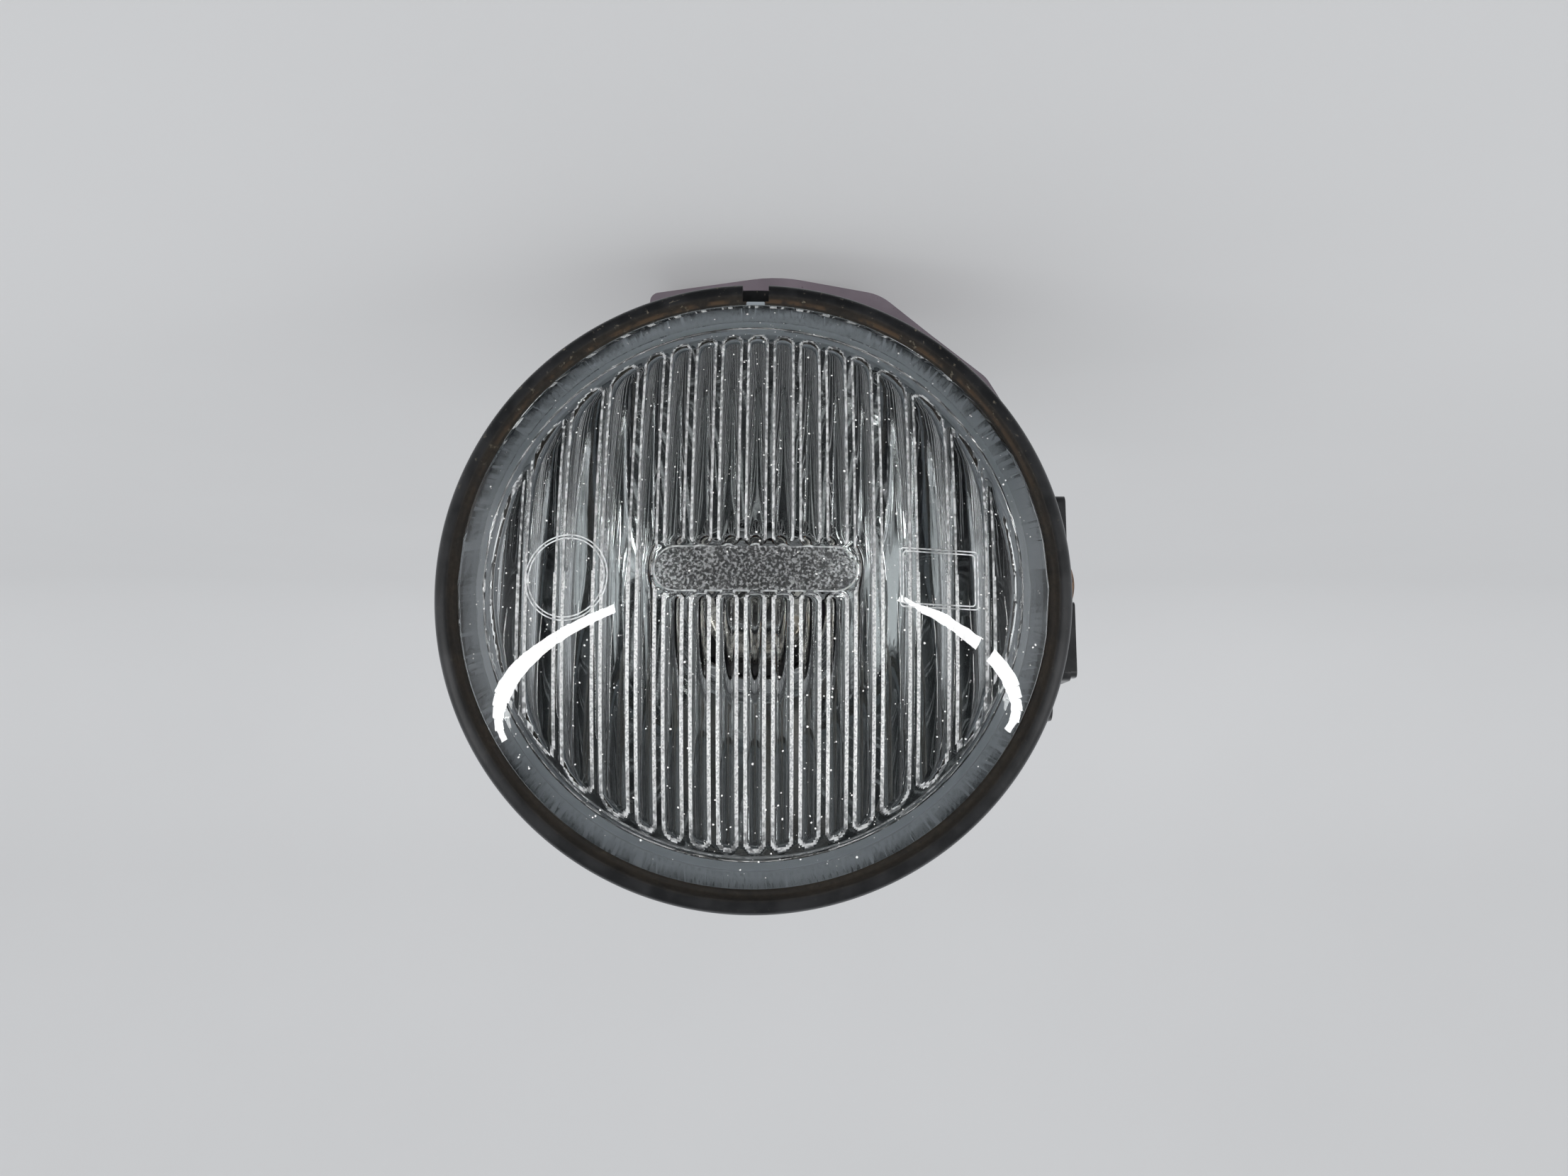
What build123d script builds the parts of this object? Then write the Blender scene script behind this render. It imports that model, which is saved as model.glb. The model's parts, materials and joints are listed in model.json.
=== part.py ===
from build123d import *
import os
from math import cos, radians, sin, sqrt

# Round fog light with a glass lens, in the position it has on the car. Millimetres.
# The lens axis is Y and the lens faces -Y. +Z is up and X runs across the car.
# The origin is on the lens axis, inside the outer cylinder of the bezel ring.
# A profile of revolution is drawn in the XY plane: X is its radius, Y its place on the axis.

# ---- driving dimensions ----
RING_R = 46.0  # bezel ring, outside
RING_WALL = 1.4
LENS_R = 42.4  # glass, outside
LENS_EDGE_Y = -2.3  # where the dome meets the glass's rim
DOME_R = 90.0
GLASS_T = 3.0
RIM_T = 3.0
SEAT_Y = 1.5  # back of the glass, on its seal
SEAL_T = 1.5
SEAL_INNER_R = 38.0
MIRROR_R = 37.6  # reflector's rim
FOCAL = 15.0
BULB_HOLE_R = 11.0
STEEL_T = 2.3
CLEAR = 0.3  # between bodies that move apart
RUNNING = 0.05  # between a shaft and its hole
OVERLAP = 0.4  # how far a boss or a rib is let into the wall it grows from

PIVOT_Y = 33.0
PIVOT_Z = -6.0
SHANK_R = 3.0  # pivot rivet and aiming screw
EAR_X = -47.3  # outer face of the lamp's ear
BRACKET_X = -51.2  # outer face of the bracket's side plate
AIM_X = -31.5
AIM_Z = PIVOT_Z + 30.0  # the aiming screw works 30 mm above the pivot

# ---- worked out from them ----
SEAL_BACK_Y = SEAT_Y + SEAL_T
FLANGE_T = 2.0
FLANGE_BACK_Y = SEAL_BACK_Y + FLANGE_T
DOME_CENTRE_Y = LENS_EDGE_Y + sqrt(DOME_R**2 - LENS_R**2)
MIRROR_POLE_Y = SEAL_BACK_Y + MIRROR_R**2 / (4 * FOCAL)
FOCUS_Y = MIRROR_POLE_Y - FOCAL
COLLAR_R = RING_R - RING_WALL  # reflector flange and housing collar, inside the ring
RING_BACK_Y = 9.0

os.makedirs("parts", exist_ok=True)


def facing(y):
    """The plane across the lens axis at y: its X and Y are the lamp's X and Z."""
    return Plane.XZ.offset(-y)


def side(x):
    """The plane across the car's X at x: its X and Y are the lamp's Y and Z."""
    return Plane.YZ.offset(x)


def radial(angle):
    """The plane that holds the lens axis and points outwards at angle, from X towards Z."""
    c = cos(radians(angle))
    s = sin(radians(angle))
    return Plane(origin=(0, 0, 0), x_dir=(c, 0, s), z_dir=(-s, 0, c))


def ring_points(radius, angles):
    """Points on a circle about the lens axis, for a sketch on a facing() plane."""
    return [(radius * cos(radians(a)), radius * sin(radians(a))) for a in angles]


def save(name, part):
    part.label = name
    export_step(part, f"parts/{name}.step")


# ---- lens: a pressed glass dome on a short rim, with vertical ribs inside ----
INNER_DOME_R = DOME_R - GLASS_T
RIM_INNER_R = LENS_R - RIM_T
RIB_PITCH = 3.72
RIB_W = 1.2
RIB_RISE = 0.7
RIB_ZONE_R = 36.5
NARROW_COUNT = 10
NARROW_RIBS = [(i - (NARROW_COUNT - 1) / 2) * RIB_PITCH for i in range(NARROW_COUNT)]
WIDE_RIBS = [21.7, 27.2, 32.7]


def dome_y(radius, dome):
    """Where a dome of that radius stands on the axis, at that distance from it."""
    return DOME_CENTRE_Y - sqrt(dome**2 - radius**2)


with BuildPart() as lens:
    with BuildSketch(Plane.XY):
        with BuildLine():
            RadiusArc((0, dome_y(0, DOME_R)), (LENS_R, LENS_EDGE_Y), -DOME_R)
            Line((LENS_R, LENS_EDGE_Y), (LENS_R, SEAT_Y))
            Line((LENS_R, SEAT_Y), (RIM_INNER_R, SEAT_Y))
            Line((RIM_INNER_R, SEAT_Y), (RIM_INNER_R, dome_y(RIM_INNER_R, INNER_DOME_R)))
            RadiusArc(
                (RIM_INNER_R, dome_y(RIM_INNER_R, INNER_DOME_R)),
                (0, dome_y(0, INNER_DOME_R)),
                INNER_DOME_R,
            )
            Line((0, dome_y(0, INNER_DOME_R)), (0, dome_y(0, DOME_R)))
        make_face()
    revolve(axis=Axis.Y)

with BuildPart() as ribs:
    with BuildSketch(facing(0)):
        for x in NARROW_RIBS + WIDE_RIBS + [-w for w in WIDE_RIBS]:
            with Locations((x, 0)):
                Rectangle(RIB_W, 2 * sqrt(RIB_ZONE_R**2 - x**2))
    extrude(amount=-dome_y(0, DOME_R))
    with BuildSketch(Plane.XY):
        with BuildLine():
            RadiusArc(
                (0, dome_y(0, INNER_DOME_R + OVERLAP)),
                (LENS_R, dome_y(LENS_R, INNER_DOME_R + OVERLAP)),
                -(INNER_DOME_R + OVERLAP),
            )
            Line(
                (LENS_R, dome_y(LENS_R, INNER_DOME_R + OVERLAP)),
                (LENS_R, dome_y(LENS_R, INNER_DOME_R - RIB_RISE)),
            )
            RadiusArc(
                (LENS_R, dome_y(LENS_R, INNER_DOME_R - RIB_RISE)),
                (0, dome_y(0, INNER_DOME_R - RIB_RISE)),
                INNER_DOME_R - RIB_RISE,
            )
            Line(
                (0, dome_y(0, INNER_DOME_R - RIB_RISE)),
                (0, dome_y(0, INNER_DOME_R + OVERLAP)),
            )
        make_face()
    revolve(axis=Axis.Y, mode=Mode.INTERSECT)

with lens:
    add(ribs.part)
save("lens", lens.part)

# ---- lens seal: a flat grey ring with a key that stands in the bezel ring's notch ----
KEY_W = 2.8
KEY_R = 43.3
KEY_FRONT_Y = -1.5

with BuildPart() as lens_seal:
    with BuildSketch(facing(SEAT_Y)):
        Circle(LENS_R)
        Circle(SEAL_INNER_R, mode=Mode.SUBTRACT)
    extrude(amount=-SEAL_T)
    with BuildSketch(facing(KEY_FRONT_Y)) as key_face:
        with Locations((0, -KEY_R / 2)):
            Rectangle(KEY_W, KEY_R)
        Circle(LENS_R, mode=Mode.SUBTRACT)
    extrude(amount=KEY_FRONT_Y - SEAL_BACK_Y)
save("lens_seal", lens_seal.part)

# ---- bezel ring: a rounded lip round a dirt groove, a drain notch at the bottom ----
GROOVE_R = 43.3
GROOVE_Y = -1.3
RIDGE_R = 43.9
RIDGE_Y = -2.3
SHOULDER_Y = -1.0
NOTCH_W = 3.9
NOTCH_BACK_Y = 0.9
GLASS_LINE_Y = -1.7  # where the ring meets the edge of the glass

with BuildPart() as bezel_ring:
    with BuildSketch(Plane.XY):
        with BuildLine():
            Polyline((LENS_R, GLASS_LINE_Y), (GROOVE_R, GROOVE_Y), (RIDGE_R, RIDGE_Y))
            TangentArc((RING_R, SHOULDER_Y), (RIDGE_R, RIDGE_Y), tangent=(0, -1))
            Polyline(
                (RING_R, SHOULDER_Y),
                (RING_R, RING_BACK_Y),
                (COLLAR_R, RING_BACK_Y),
                (COLLAR_R, SEAL_BACK_Y),
                (LENS_R, SEAL_BACK_Y),
                (LENS_R, GLASS_LINE_Y),
            )
        make_face()
    revolve(axis=Axis.Y)
    with BuildSketch(facing(NOTCH_BACK_Y)):
        with Locations((0, -RING_R)):
            Rectangle(NOTCH_W, 2 * (RING_R - KEY_R))
    extrude(amount=2 * NOTCH_W, mode=Mode.SUBTRACT)
    with BuildSketch(facing(KEY_FRONT_Y)):
        add(key_face.sketch_local)
    extrude(amount=KEY_FRONT_Y - SEAL_BACK_Y, mode=Mode.SUBTRACT)
save("bezel_ring", bezel_ring.part)

# ---- reflector: a parabolic bowl with a flat seat round the bulb hole ----
SEAT_RING_R = 14.8
MIRROR_SEAT_Y = MIRROR_POLE_Y - SEAT_RING_R**2 / (4 * FOCAL)
BOWL_T = 2.6
BACK_POLE_Y = MIRROR_POLE_Y + BOWL_T
NECK_R = 13.4
NECK_BACK_Y = 28.0
SCREW_CIRCLE_R = 38.0
SCREW_ANGLES = [350, 108, 232]
SCREW_R = 1.5
BOSS_R = 2.8
BOSS_BACK_Y = 14.2
PILOT_DEPTH = 6.0


def parabola(start_r, end_r, pole_y):
    """The bowl's curve between two radii: one quadratic Bezier is exactly a parabola."""
    start_y = pole_y - start_r**2 / (4 * FOCAL)
    end_y = pole_y - end_r**2 / (4 * FOCAL)
    middle = ((start_r + end_r) / 2, pole_y - start_r * end_r / (4 * FOCAL))
    return Bezier((start_r, start_y), middle, (end_r, end_y))


BACK_R = sqrt(4 * FOCAL * (BACK_POLE_Y - FLANGE_BACK_Y))

with BuildPart() as reflector:
    with BuildSketch(Plane.XY):
        with BuildLine():
            parabola(MIRROR_R, SEAT_RING_R, MIRROR_POLE_Y)
            Polyline(
                (SEAT_RING_R, MIRROR_SEAT_Y),
                (BULB_HOLE_R, MIRROR_SEAT_Y),
                (BULB_HOLE_R, NECK_BACK_Y),
                (NECK_R, NECK_BACK_Y),
                (NECK_R, BACK_POLE_Y - NECK_R**2 / (4 * FOCAL)),
            )
            parabola(NECK_R, BACK_R, BACK_POLE_Y)
            Polyline(
                (BACK_R, FLANGE_BACK_Y),
                (COLLAR_R, FLANGE_BACK_Y),
                (COLLAR_R, SEAL_BACK_Y),
                (MIRROR_R, SEAL_BACK_Y),
            )
        make_face()
    revolve(axis=Axis.Y)
    with BuildSketch(facing(FLANGE_BACK_Y - OVERLAP)):
        with Locations(*ring_points(SCREW_CIRCLE_R, SCREW_ANGLES)):
            Circle(BOSS_R)
    extrude(amount=-(BOSS_BACK_Y - FLANGE_BACK_Y + OVERLAP))
    with BuildSketch(facing(BOSS_BACK_Y)):
        with Locations(*ring_points(SCREW_CIRCLE_R, SCREW_ANGLES)):
            Circle(SCREW_R)
    extrude(amount=PILOT_DEPTH, mode=Mode.SUBTRACT)
save("reflector", reflector.part)

# ---- housing: the moulded shell behind the reflector, with its lower skirt ----
COLLAR_FRONT_Y = FLANGE_BACK_Y + 0.2
COLLAR_INNER_R = 41.5
BODY_R = 45.0
BODY_BACK_Y = 18.0
CONE_R = 33.0
CONE_END = (20.0, 33.0)
LIP_BACK_Y = 36.4
LIP_FRONT_Y = 34.0
NECK_OUTER_R = 16.5
SOCKET_R = 13.0
SOCKET_FRONT_Y = 31.0
BARREL_R = 10.0
WALL_BACK_Y = 14.5  # inner side of the step behind the collar
LUG_ANGLES = [90, 210, 330]
LUG_SLOT_R = 12.8
LUG_SLOT_W = 6.4
TURN = 45  # the bulb goes in at the slots and turns this far
GASKET_INNER_R = 42.4
GASKET_OUTER_R = 43.8
GASKET_BACK_Y = 6.4

SKIRT_FRONT_Y = 14.0
SKIRT_BACK_Y = 34.0
SKIRT_FACE_T = 3.0
SKIRT_WALL = 2.4
SKIRT_INNER_R = 43.0
SKIRT_POCKET_R = 45.4
SKIRT_LOWEST = (-3.1, -54.0)
SKIRT_STEP = (-19.8, -50.9)
SKIRT_SHOULDER = (-36.8, -36.9)
SKIRT_CORNER = (17.6, -50.9)

EAR_SCREWS = [(26.0, 12.0), (26.0, -15.0)]
EAR_BOSS_R = 4.5
EAR_SCREW_R = 1.9
EAR_BACK_X = EAR_X + STEEL_T
BOSS_ROOT_X = -21.0
EAR_SCREW_DEPTH = 12.0
WEB_X = -43.0  # the web between the bosses starts behind the rivet's washer
WEB_Y = 25.0
WEB_T = 4.0

POST_R = 8.0
POST_BACK_Y = 35.0
NUT_FRONT_Y = 31.0
NUT_R = 5.0
POST_BORE_R = 4.6
POST_BORE_DEPTH = 10.0

VENT_X = 15.2
VENT_Z = -15.2
SPIGOT_R = 3.0
SPIGOT_BORE_R = 1.8
SPIGOT_ROOT_Y = 27.0
SPIGOT_BACK_Y = 39.0
SPIGOT_BORE_DEPTH = 14.0

RIB_ANGLES = [15, 45, 75, 262, 290, 335]
CONE_RIB_T = 1.8
CONE_RIB_TOP_R = 42.0

with BuildPart() as skirt:
    with BuildSketch(facing(SKIRT_FRONT_Y)) as skirt_outline:
        with BuildLine() as skirt_edge:
            Polyline(
                (SKIRT_CORNER[0], -30.0),
                SKIRT_CORNER,
                SKIRT_LOWEST,
                SKIRT_STEP,
                (-27.8, -44.2),
                SKIRT_SHOULDER,
                (-40.3, -31.0),
                (-30.0, -20.0),
                (SKIRT_CORNER[0], -30.0),
            )
        make_face()
        for corner, radius in (
            (SKIRT_CORNER, 1.5),
            (SKIRT_LOWEST, 24.0),
            (SKIRT_STEP, 8.0),
            (SKIRT_SHOULDER, 5.0),
        ):
            fillet(skirt_outline.vertices().sort_by_distance(corner)[0], radius)
    extrude(amount=-(SKIRT_BACK_Y - SKIRT_FRONT_Y))
    with BuildSketch(facing(SKIRT_FRONT_Y + SKIRT_FACE_T)):
        offset(skirt_outline.sketch.moved(Location((0, SKIRT_FACE_T, 0))), amount=-SKIRT_WALL)
        Circle(SKIRT_POCKET_R, mode=Mode.SUBTRACT)
    extrude(amount=-SKIRT_BACK_Y, mode=Mode.SUBTRACT)
    with BuildSketch(facing(SKIRT_FRONT_Y)):
        Circle(SKIRT_INNER_R)
    extrude(amount=-SKIRT_BACK_Y, mode=Mode.SUBTRACT)

with BuildPart() as housing:
    with BuildSketch(Plane.XY):
        with BuildLine():
            Polyline(
                (0, COLLAR_FRONT_Y),
                (COLLAR_R, COLLAR_FRONT_Y),
                (COLLAR_R, RING_BACK_Y + CLEAR),
                (BODY_R, RING_BACK_Y + CLEAR),
                (BODY_R, BODY_BACK_Y),
                (CONE_R, BODY_BACK_Y),
                CONE_END,
                (NECK_OUTER_R, LIP_FRONT_Y),
                (NECK_OUTER_R, LIP_BACK_Y),
                (0, LIP_BACK_Y),
                (0, COLLAR_FRONT_Y),
            )
        make_face()
    revolve(axis=Axis.Y)
    add(skirt.part)

    # two bosses and a web that carry the ear
    with BuildSketch(side(EAR_BACK_X)):
        with Locations(*EAR_SCREWS):
            Circle(EAR_BOSS_R)
    extrude(amount=BOSS_ROOT_X - EAR_BACK_X)
    with BuildSketch(side(WEB_X)):
        with Locations((WEB_Y, (EAR_SCREWS[0][1] + EAR_SCREWS[1][1]) / 2)):
            Rectangle(WEB_T, EAR_SCREWS[0][1] - EAR_SCREWS[1][1])
    extrude(amount=BOSS_ROOT_X - WEB_X)

    # the post that carries the aiming nut
    with BuildSketch(facing(BODY_BACK_Y - OVERLAP)):
        with Locations((AIM_X, AIM_Z)):
            Circle(POST_R)
    extrude(amount=-(POST_BACK_Y - BODY_BACK_Y + OVERLAP))

    # breather spigot
    with BuildSketch(facing(SPIGOT_ROOT_Y)):
        with Locations((VENT_X, VENT_Z)):
            Circle(SPIGOT_R)
    extrude(amount=-(SPIGOT_BACK_Y - SPIGOT_ROOT_Y))

    # stiffening ribs on the cone
    for angle in RIB_ANGLES:
        with BuildSketch(radial(angle)):
            with BuildLine():
                Polyline(
                    (NECK_OUTER_R - 2.0, CONE_END[1]),
                    (NECK_OUTER_R + 0.6, LIP_BACK_Y - 0.8),
                    (CONE_RIB_TOP_R, BODY_BACK_Y),
                    (CONE_R - 2.0, BODY_BACK_Y - 1.0),
                    (NECK_OUTER_R - 2.0, CONE_END[1]),
                )
            make_face()
        extrude(amount=CONE_RIB_T / 2, both=True)

    # the space inside, and the bulb socket
    with BuildSketch(Plane.XY):
        with BuildLine():
            Polyline(
                (0, 0),
                (COLLAR_INNER_R, 0),
                (COLLAR_INNER_R, WALL_BACK_Y),
                (CONE_R - 2.0, BODY_BACK_Y - 2.0),
                (CONE_END[0] - 2.5, SOCKET_FRONT_Y),
                (SOCKET_R, SOCKET_FRONT_Y),
                (SOCKET_R, LIP_FRONT_Y),
                (BARREL_R + CLEAR, LIP_FRONT_Y),
                (BARREL_R + CLEAR, LIP_BACK_Y + 1.0),
                (0, LIP_BACK_Y + 1.0),
                (0, 0),
            )
        make_face()
    revolve(axis=Axis.Y, mode=Mode.SUBTRACT)

    # groove for the gasket
    with BuildSketch(facing(COLLAR_FRONT_Y)):
        Circle(GASKET_OUTER_R)
        Circle(GASKET_INNER_R, mode=Mode.SUBTRACT)
    extrude(amount=-(GASKET_BACK_Y - COLLAR_FRONT_Y), mode=Mode.SUBTRACT)

    # holes for the housing screws
    with BuildSketch(facing(BODY_BACK_Y)):
        with Locations(*ring_points(SCREW_CIRCLE_R, SCREW_ANGLES)):
            Circle(SCREW_R + 0.2)
    extrude(amount=5.0, mode=Mode.SUBTRACT)

    # holes for the ear screws
    with BuildSketch(side(EAR_BACK_X)):
        with Locations(*EAR_SCREWS):
            Circle(EAR_SCREW_R)
    extrude(amount=EAR_SCREW_DEPTH, mode=Mode.SUBTRACT)

    # bore and nut seat in the post
    with BuildSketch(facing(POST_BACK_Y)):
        with Locations((AIM_X, AIM_Z)):
            Circle(NUT_R)
    extrude(amount=POST_BACK_Y - NUT_FRONT_Y, mode=Mode.SUBTRACT)
    with BuildSketch(facing(NUT_FRONT_Y)):
        with Locations((AIM_X, AIM_Z)):
            Circle(POST_BORE_R)
    extrude(amount=POST_BORE_DEPTH, mode=Mode.SUBTRACT)

    # breather bore
    with BuildSketch(facing(SPIGOT_BACK_Y)):
        with Locations((VENT_X, VENT_Z)):
            Circle(SPIGOT_BORE_R)
    extrude(amount=SPIGOT_BORE_DEPTH, mode=Mode.SUBTRACT)

    # three notches in the socket's lip, where the bulb's lugs go in
    with BuildSketch(facing(LIP_BACK_Y)):
        for angle in LUG_ANGLES:
            with Locations(Location((0, 0, 0), (0, 0, angle - TURN))):
                with Locations((LUG_SLOT_R / 2, 0)):
                    Rectangle(LUG_SLOT_R, LUG_SLOT_W)
    extrude(amount=LIP_BACK_Y - LIP_FRONT_Y, mode=Mode.SUBTRACT)
save("housing", housing.part)

# ---- gasket between reflector and housing ----
with BuildPart() as housing_gasket:
    with BuildSketch(facing(FLANGE_BACK_Y)):
        Circle(GASKET_OUTER_R)
        Circle(GASKET_INNER_R, mode=Mode.SUBTRACT)
    extrude(amount=-(GASKET_BACK_Y - FLANGE_BACK_Y))
save("housing_gasket", housing_gasket.part)

# ---- screws that hold the reflector in the housing ----
SCREW_HEAD_R = 3.2
SCREW_HEAD_T = 2.0
SCREW_TIP_Y = 9.0
RECESS_L = 3.4
RECESS_W = 0.8
RECESS_DEPTH = 1.2

with BuildPart() as housing_screws:
    with BuildSketch(facing(SCREW_TIP_Y)):
        with Locations(*ring_points(SCREW_CIRCLE_R, SCREW_ANGLES)):
            Circle(SCREW_R)
    extrude(amount=-(BODY_BACK_Y - SCREW_TIP_Y))
    with BuildSketch(facing(BODY_BACK_Y)):
        with Locations(*ring_points(SCREW_CIRCLE_R, SCREW_ANGLES)):
            Circle(SCREW_HEAD_R)
    extrude(amount=-SCREW_HEAD_T)
    fillet(housing_screws.faces().sort_by(Axis.Y)[-3:].edges(), 0.7)
    with BuildSketch(facing(BODY_BACK_Y + SCREW_HEAD_T)):
        with Locations(*ring_points(SCREW_CIRCLE_R, SCREW_ANGLES)):
            Rectangle(RECESS_L, RECESS_W)
            Rectangle(RECESS_W, RECESS_L)
    extrude(amount=RECESS_DEPTH, mode=Mode.SUBTRACT)
save("housing_screws", housing_screws.part)

# ---- bulb: capsule, filament, collar, base with its two-pin inlet, seal, terminals ----
CAPSULE_R = 6.0
CAPSULE_WALL = 1.1
CAPSULE_TIP_Y = -0.5
CAPSULE_BACK_Y = 26.0
CAPSULE_INNER_R = CAPSULE_R - CAPSULE_WALL
CAPSULE_DOME_Y = CAPSULE_TIP_Y + CAPSULE_R
COLLAR_TUBE_R = 8.2
COLLAR_TUBE_Y = 20.0
BARREL_FRONT_Y = 30.0
COLLAR_SUNK = 2.0
LUG_R = 12.4
LUG_W = 5.6
LUG_FRONT_Y = 31.2
BASE_FLANGE_Y = 38.6
BASE_FLANGE_R = 15.5
BASE_FLANGE_T = 2.4
BASE_BACK_Y = 52.0
BASE_BODY_Y = BASE_FLANGE_Y + BASE_FLANGE_T
BASE_TOP_Z = 9.0
INLET_W = 19.0
INLET_CAVITY_W = 15.6
INLET_CAVITY_D = 7.6
INLET_END_Z = -30.0
INLET_FLOOR_Z = -16.0
INLET_Y = (BASE_BODY_Y + BASE_BACK_Y) / 2
BLADE_TIP_Z = -24.0
BLADE_W = 2.8
BLADE_T = 0.8
BLADE_SPACING = 8.0
LATCH_Z = -18.0
LATCH_END_Z = -24.0
LATCH_RISE = 1.8
ORING_R = 12.5
ORING_SECTION_R = 1.0

with BuildPart() as bulb_glass:
    with BuildSketch(Plane.XY):
        with BuildLine():
            Line((CAPSULE_R, CAPSULE_BACK_Y), (CAPSULE_R, CAPSULE_DOME_Y))
            RadiusArc((CAPSULE_R, CAPSULE_DOME_Y), (0, CAPSULE_TIP_Y), CAPSULE_R)
            Line((0, CAPSULE_TIP_Y), (0, CAPSULE_TIP_Y + CAPSULE_WALL))
            RadiusArc(
                (0, CAPSULE_TIP_Y + CAPSULE_WALL),
                (CAPSULE_INNER_R, CAPSULE_DOME_Y),
                -CAPSULE_INNER_R,
            )
            Line((CAPSULE_INNER_R, CAPSULE_DOME_Y), (CAPSULE_INNER_R, CAPSULE_BACK_Y))
            Line((CAPSULE_INNER_R, CAPSULE_BACK_Y), (CAPSULE_R, CAPSULE_BACK_Y))
        make_face()
    revolve(axis=Axis.Y)
save("bulb_glass", bulb_glass.part)

COIL_R = 0.8
COIL_L = 5.0
LEAD_R = 0.35
LEAD_X = 2.0
COIL_FRONT_Y = FOCUS_Y - COIL_L / 2
COIL_BACK_Y = FOCUS_Y + COIL_L / 2

with BuildPart() as filament:
    with BuildSketch(facing(COIL_FRONT_Y)):
        Circle(COIL_R)
    extrude(amount=-COIL_L)
    # a lead from each end of the coil, back into the base
    for lead_x, lead_y in ((LEAD_X, COIL_FRONT_Y), (-LEAD_X, COIL_BACK_Y - 2 * LEAD_R)):
        with BuildSketch(facing(lead_y)):
            with Locations((lead_x / 2, 0)):
                Rectangle(LEAD_X + 2 * LEAD_R, 2 * LEAD_R)
        extrude(amount=-2 * LEAD_R)
        with BuildSketch(facing(BARREL_FRONT_Y)):
            with Locations((lead_x, 0)):
                Rectangle(2 * LEAD_R, 2 * LEAD_R)
        extrude(amount=BARREL_FRONT_Y - lead_y)
save("filament", filament.part)

with BuildPart() as bulb_collar:
    with BuildSketch(Plane.XY):
        with BuildLine():
            Polyline(
                (CAPSULE_R, COLLAR_TUBE_Y),
                (COLLAR_TUBE_R - 0.8, COLLAR_TUBE_Y),
                (COLLAR_TUBE_R, COLLAR_TUBE_Y + 0.8),
                (COLLAR_TUBE_R, BARREL_FRONT_Y + COLLAR_SUNK),
                (COLLAR_TUBE_R - 1.0, BARREL_FRONT_Y + COLLAR_SUNK),
                (COLLAR_TUBE_R - 1.0, CAPSULE_BACK_Y - 1.0),
                (CAPSULE_R, CAPSULE_BACK_Y - 1.0),
                (CAPSULE_R, COLLAR_TUBE_Y),
            )
        make_face()
    revolve(axis=Axis.Y)
save("bulb_collar", bulb_collar.part)

with BuildPart() as bulb_base:
    with BuildSketch(facing(BARREL_FRONT_Y)):
        Circle(BARREL_R)
    extrude(amount=-(BASE_FLANGE_Y - BARREL_FRONT_Y + OVERLAP))
    with BuildSketch(facing(LUG_FRONT_Y)):
        for angle in LUG_ANGLES:
            with Locations(Location((0, 0, 0), (0, 0, angle))):
                with Locations((LUG_R / 2, 0)):
                    Rectangle(LUG_R, LUG_W)
        Circle(LUG_R, mode=Mode.INTERSECT)
    extrude(amount=-(LIP_FRONT_Y - CLEAR - LUG_FRONT_Y))
    with BuildSketch(facing(BASE_FLANGE_Y)):
        Circle(BASE_FLANGE_R)
    extrude(amount=-BASE_FLANGE_T)
    fillet(bulb_base.faces().sort_by(Axis.Y)[-1].edges(), 0.8)
    # the body behind the flange, with the inlet that points down
    with BuildSketch(facing(BASE_BODY_Y - OVERLAP)):
        with Locations((0, (INLET_END_Z + BASE_TOP_Z) / 2)):
            RectangleRounded(INLET_W, BASE_TOP_Z - INLET_END_Z, 2.0)
    extrude(amount=-(BASE_BACK_Y - BASE_BODY_Y + OVERLAP))
    fillet(bulb_base.faces().sort_by(Axis.Y)[-1].edges(), 1.2)
    with BuildSketch(Plane.XY.offset(INLET_END_Z)):
        with Locations((0, INLET_Y)):
            RectangleRounded(INLET_CAVITY_W, INLET_CAVITY_D, 1.5)
    extrude(amount=INLET_FLOOR_Z - INLET_END_Z, mode=Mode.SUBTRACT)
    # latch ramp on the inlet's back, and grip ribs on its sides
    with BuildSketch(side(0)):
        with BuildLine():
            Polyline(
                (BASE_BACK_Y - OVERLAP, LATCH_Z),
                (BASE_BACK_Y + LATCH_RISE, LATCH_Z),
                (BASE_BACK_Y, LATCH_END_Z),
                (BASE_BACK_Y - OVERLAP, LATCH_END_Z),
                (BASE_BACK_Y - OVERLAP, LATCH_Z),
            )
        make_face()
    extrude(amount=2.5, both=True)
    with BuildSketch(facing(BASE_BODY_Y + 2.0)):
        with GridLocations(INLET_W, 5.0, 2, 3):
            Rectangle(1.2, 1.6)
    extrude(amount=-7.0)
    # the recess that holds the collar
    with BuildSketch(facing(BARREL_FRONT_Y)):
        Circle(COLLAR_TUBE_R)
    extrude(amount=-COLLAR_SUNK, mode=Mode.SUBTRACT)
save("bulb_base", bulb_base.part)

with BuildPart() as bulb_oring:
    with BuildSketch(Plane.XY):
        with Locations((ORING_R, BASE_FLANGE_Y - ORING_SECTION_R)):
            Circle(ORING_SECTION_R)
    revolve(axis=Axis.Y)
save("bulb_oring", bulb_oring.part)

with BuildPart() as terminals:
    with BuildSketch(Plane.XY.offset(INLET_FLOOR_Z)):
        with Locations((0, INLET_Y)):
            with GridLocations(BLADE_SPACING, 1.0, 2, 1):
                Rectangle(BLADE_W, BLADE_T)
    extrude(amount=BLADE_TIP_Z - INLET_FLOOR_Z)
save("terminals", terminals.part)

# ---- breather: rubber elbow on the spigot, felt plug in its mouth ----
ELBOW_R = 4.6
ELBOW_START_Y = 34.5
ELBOW_BACK_Y = 46.5
ELBOW_END_Z = -28.0
FILTER_T = 3.0

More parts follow.
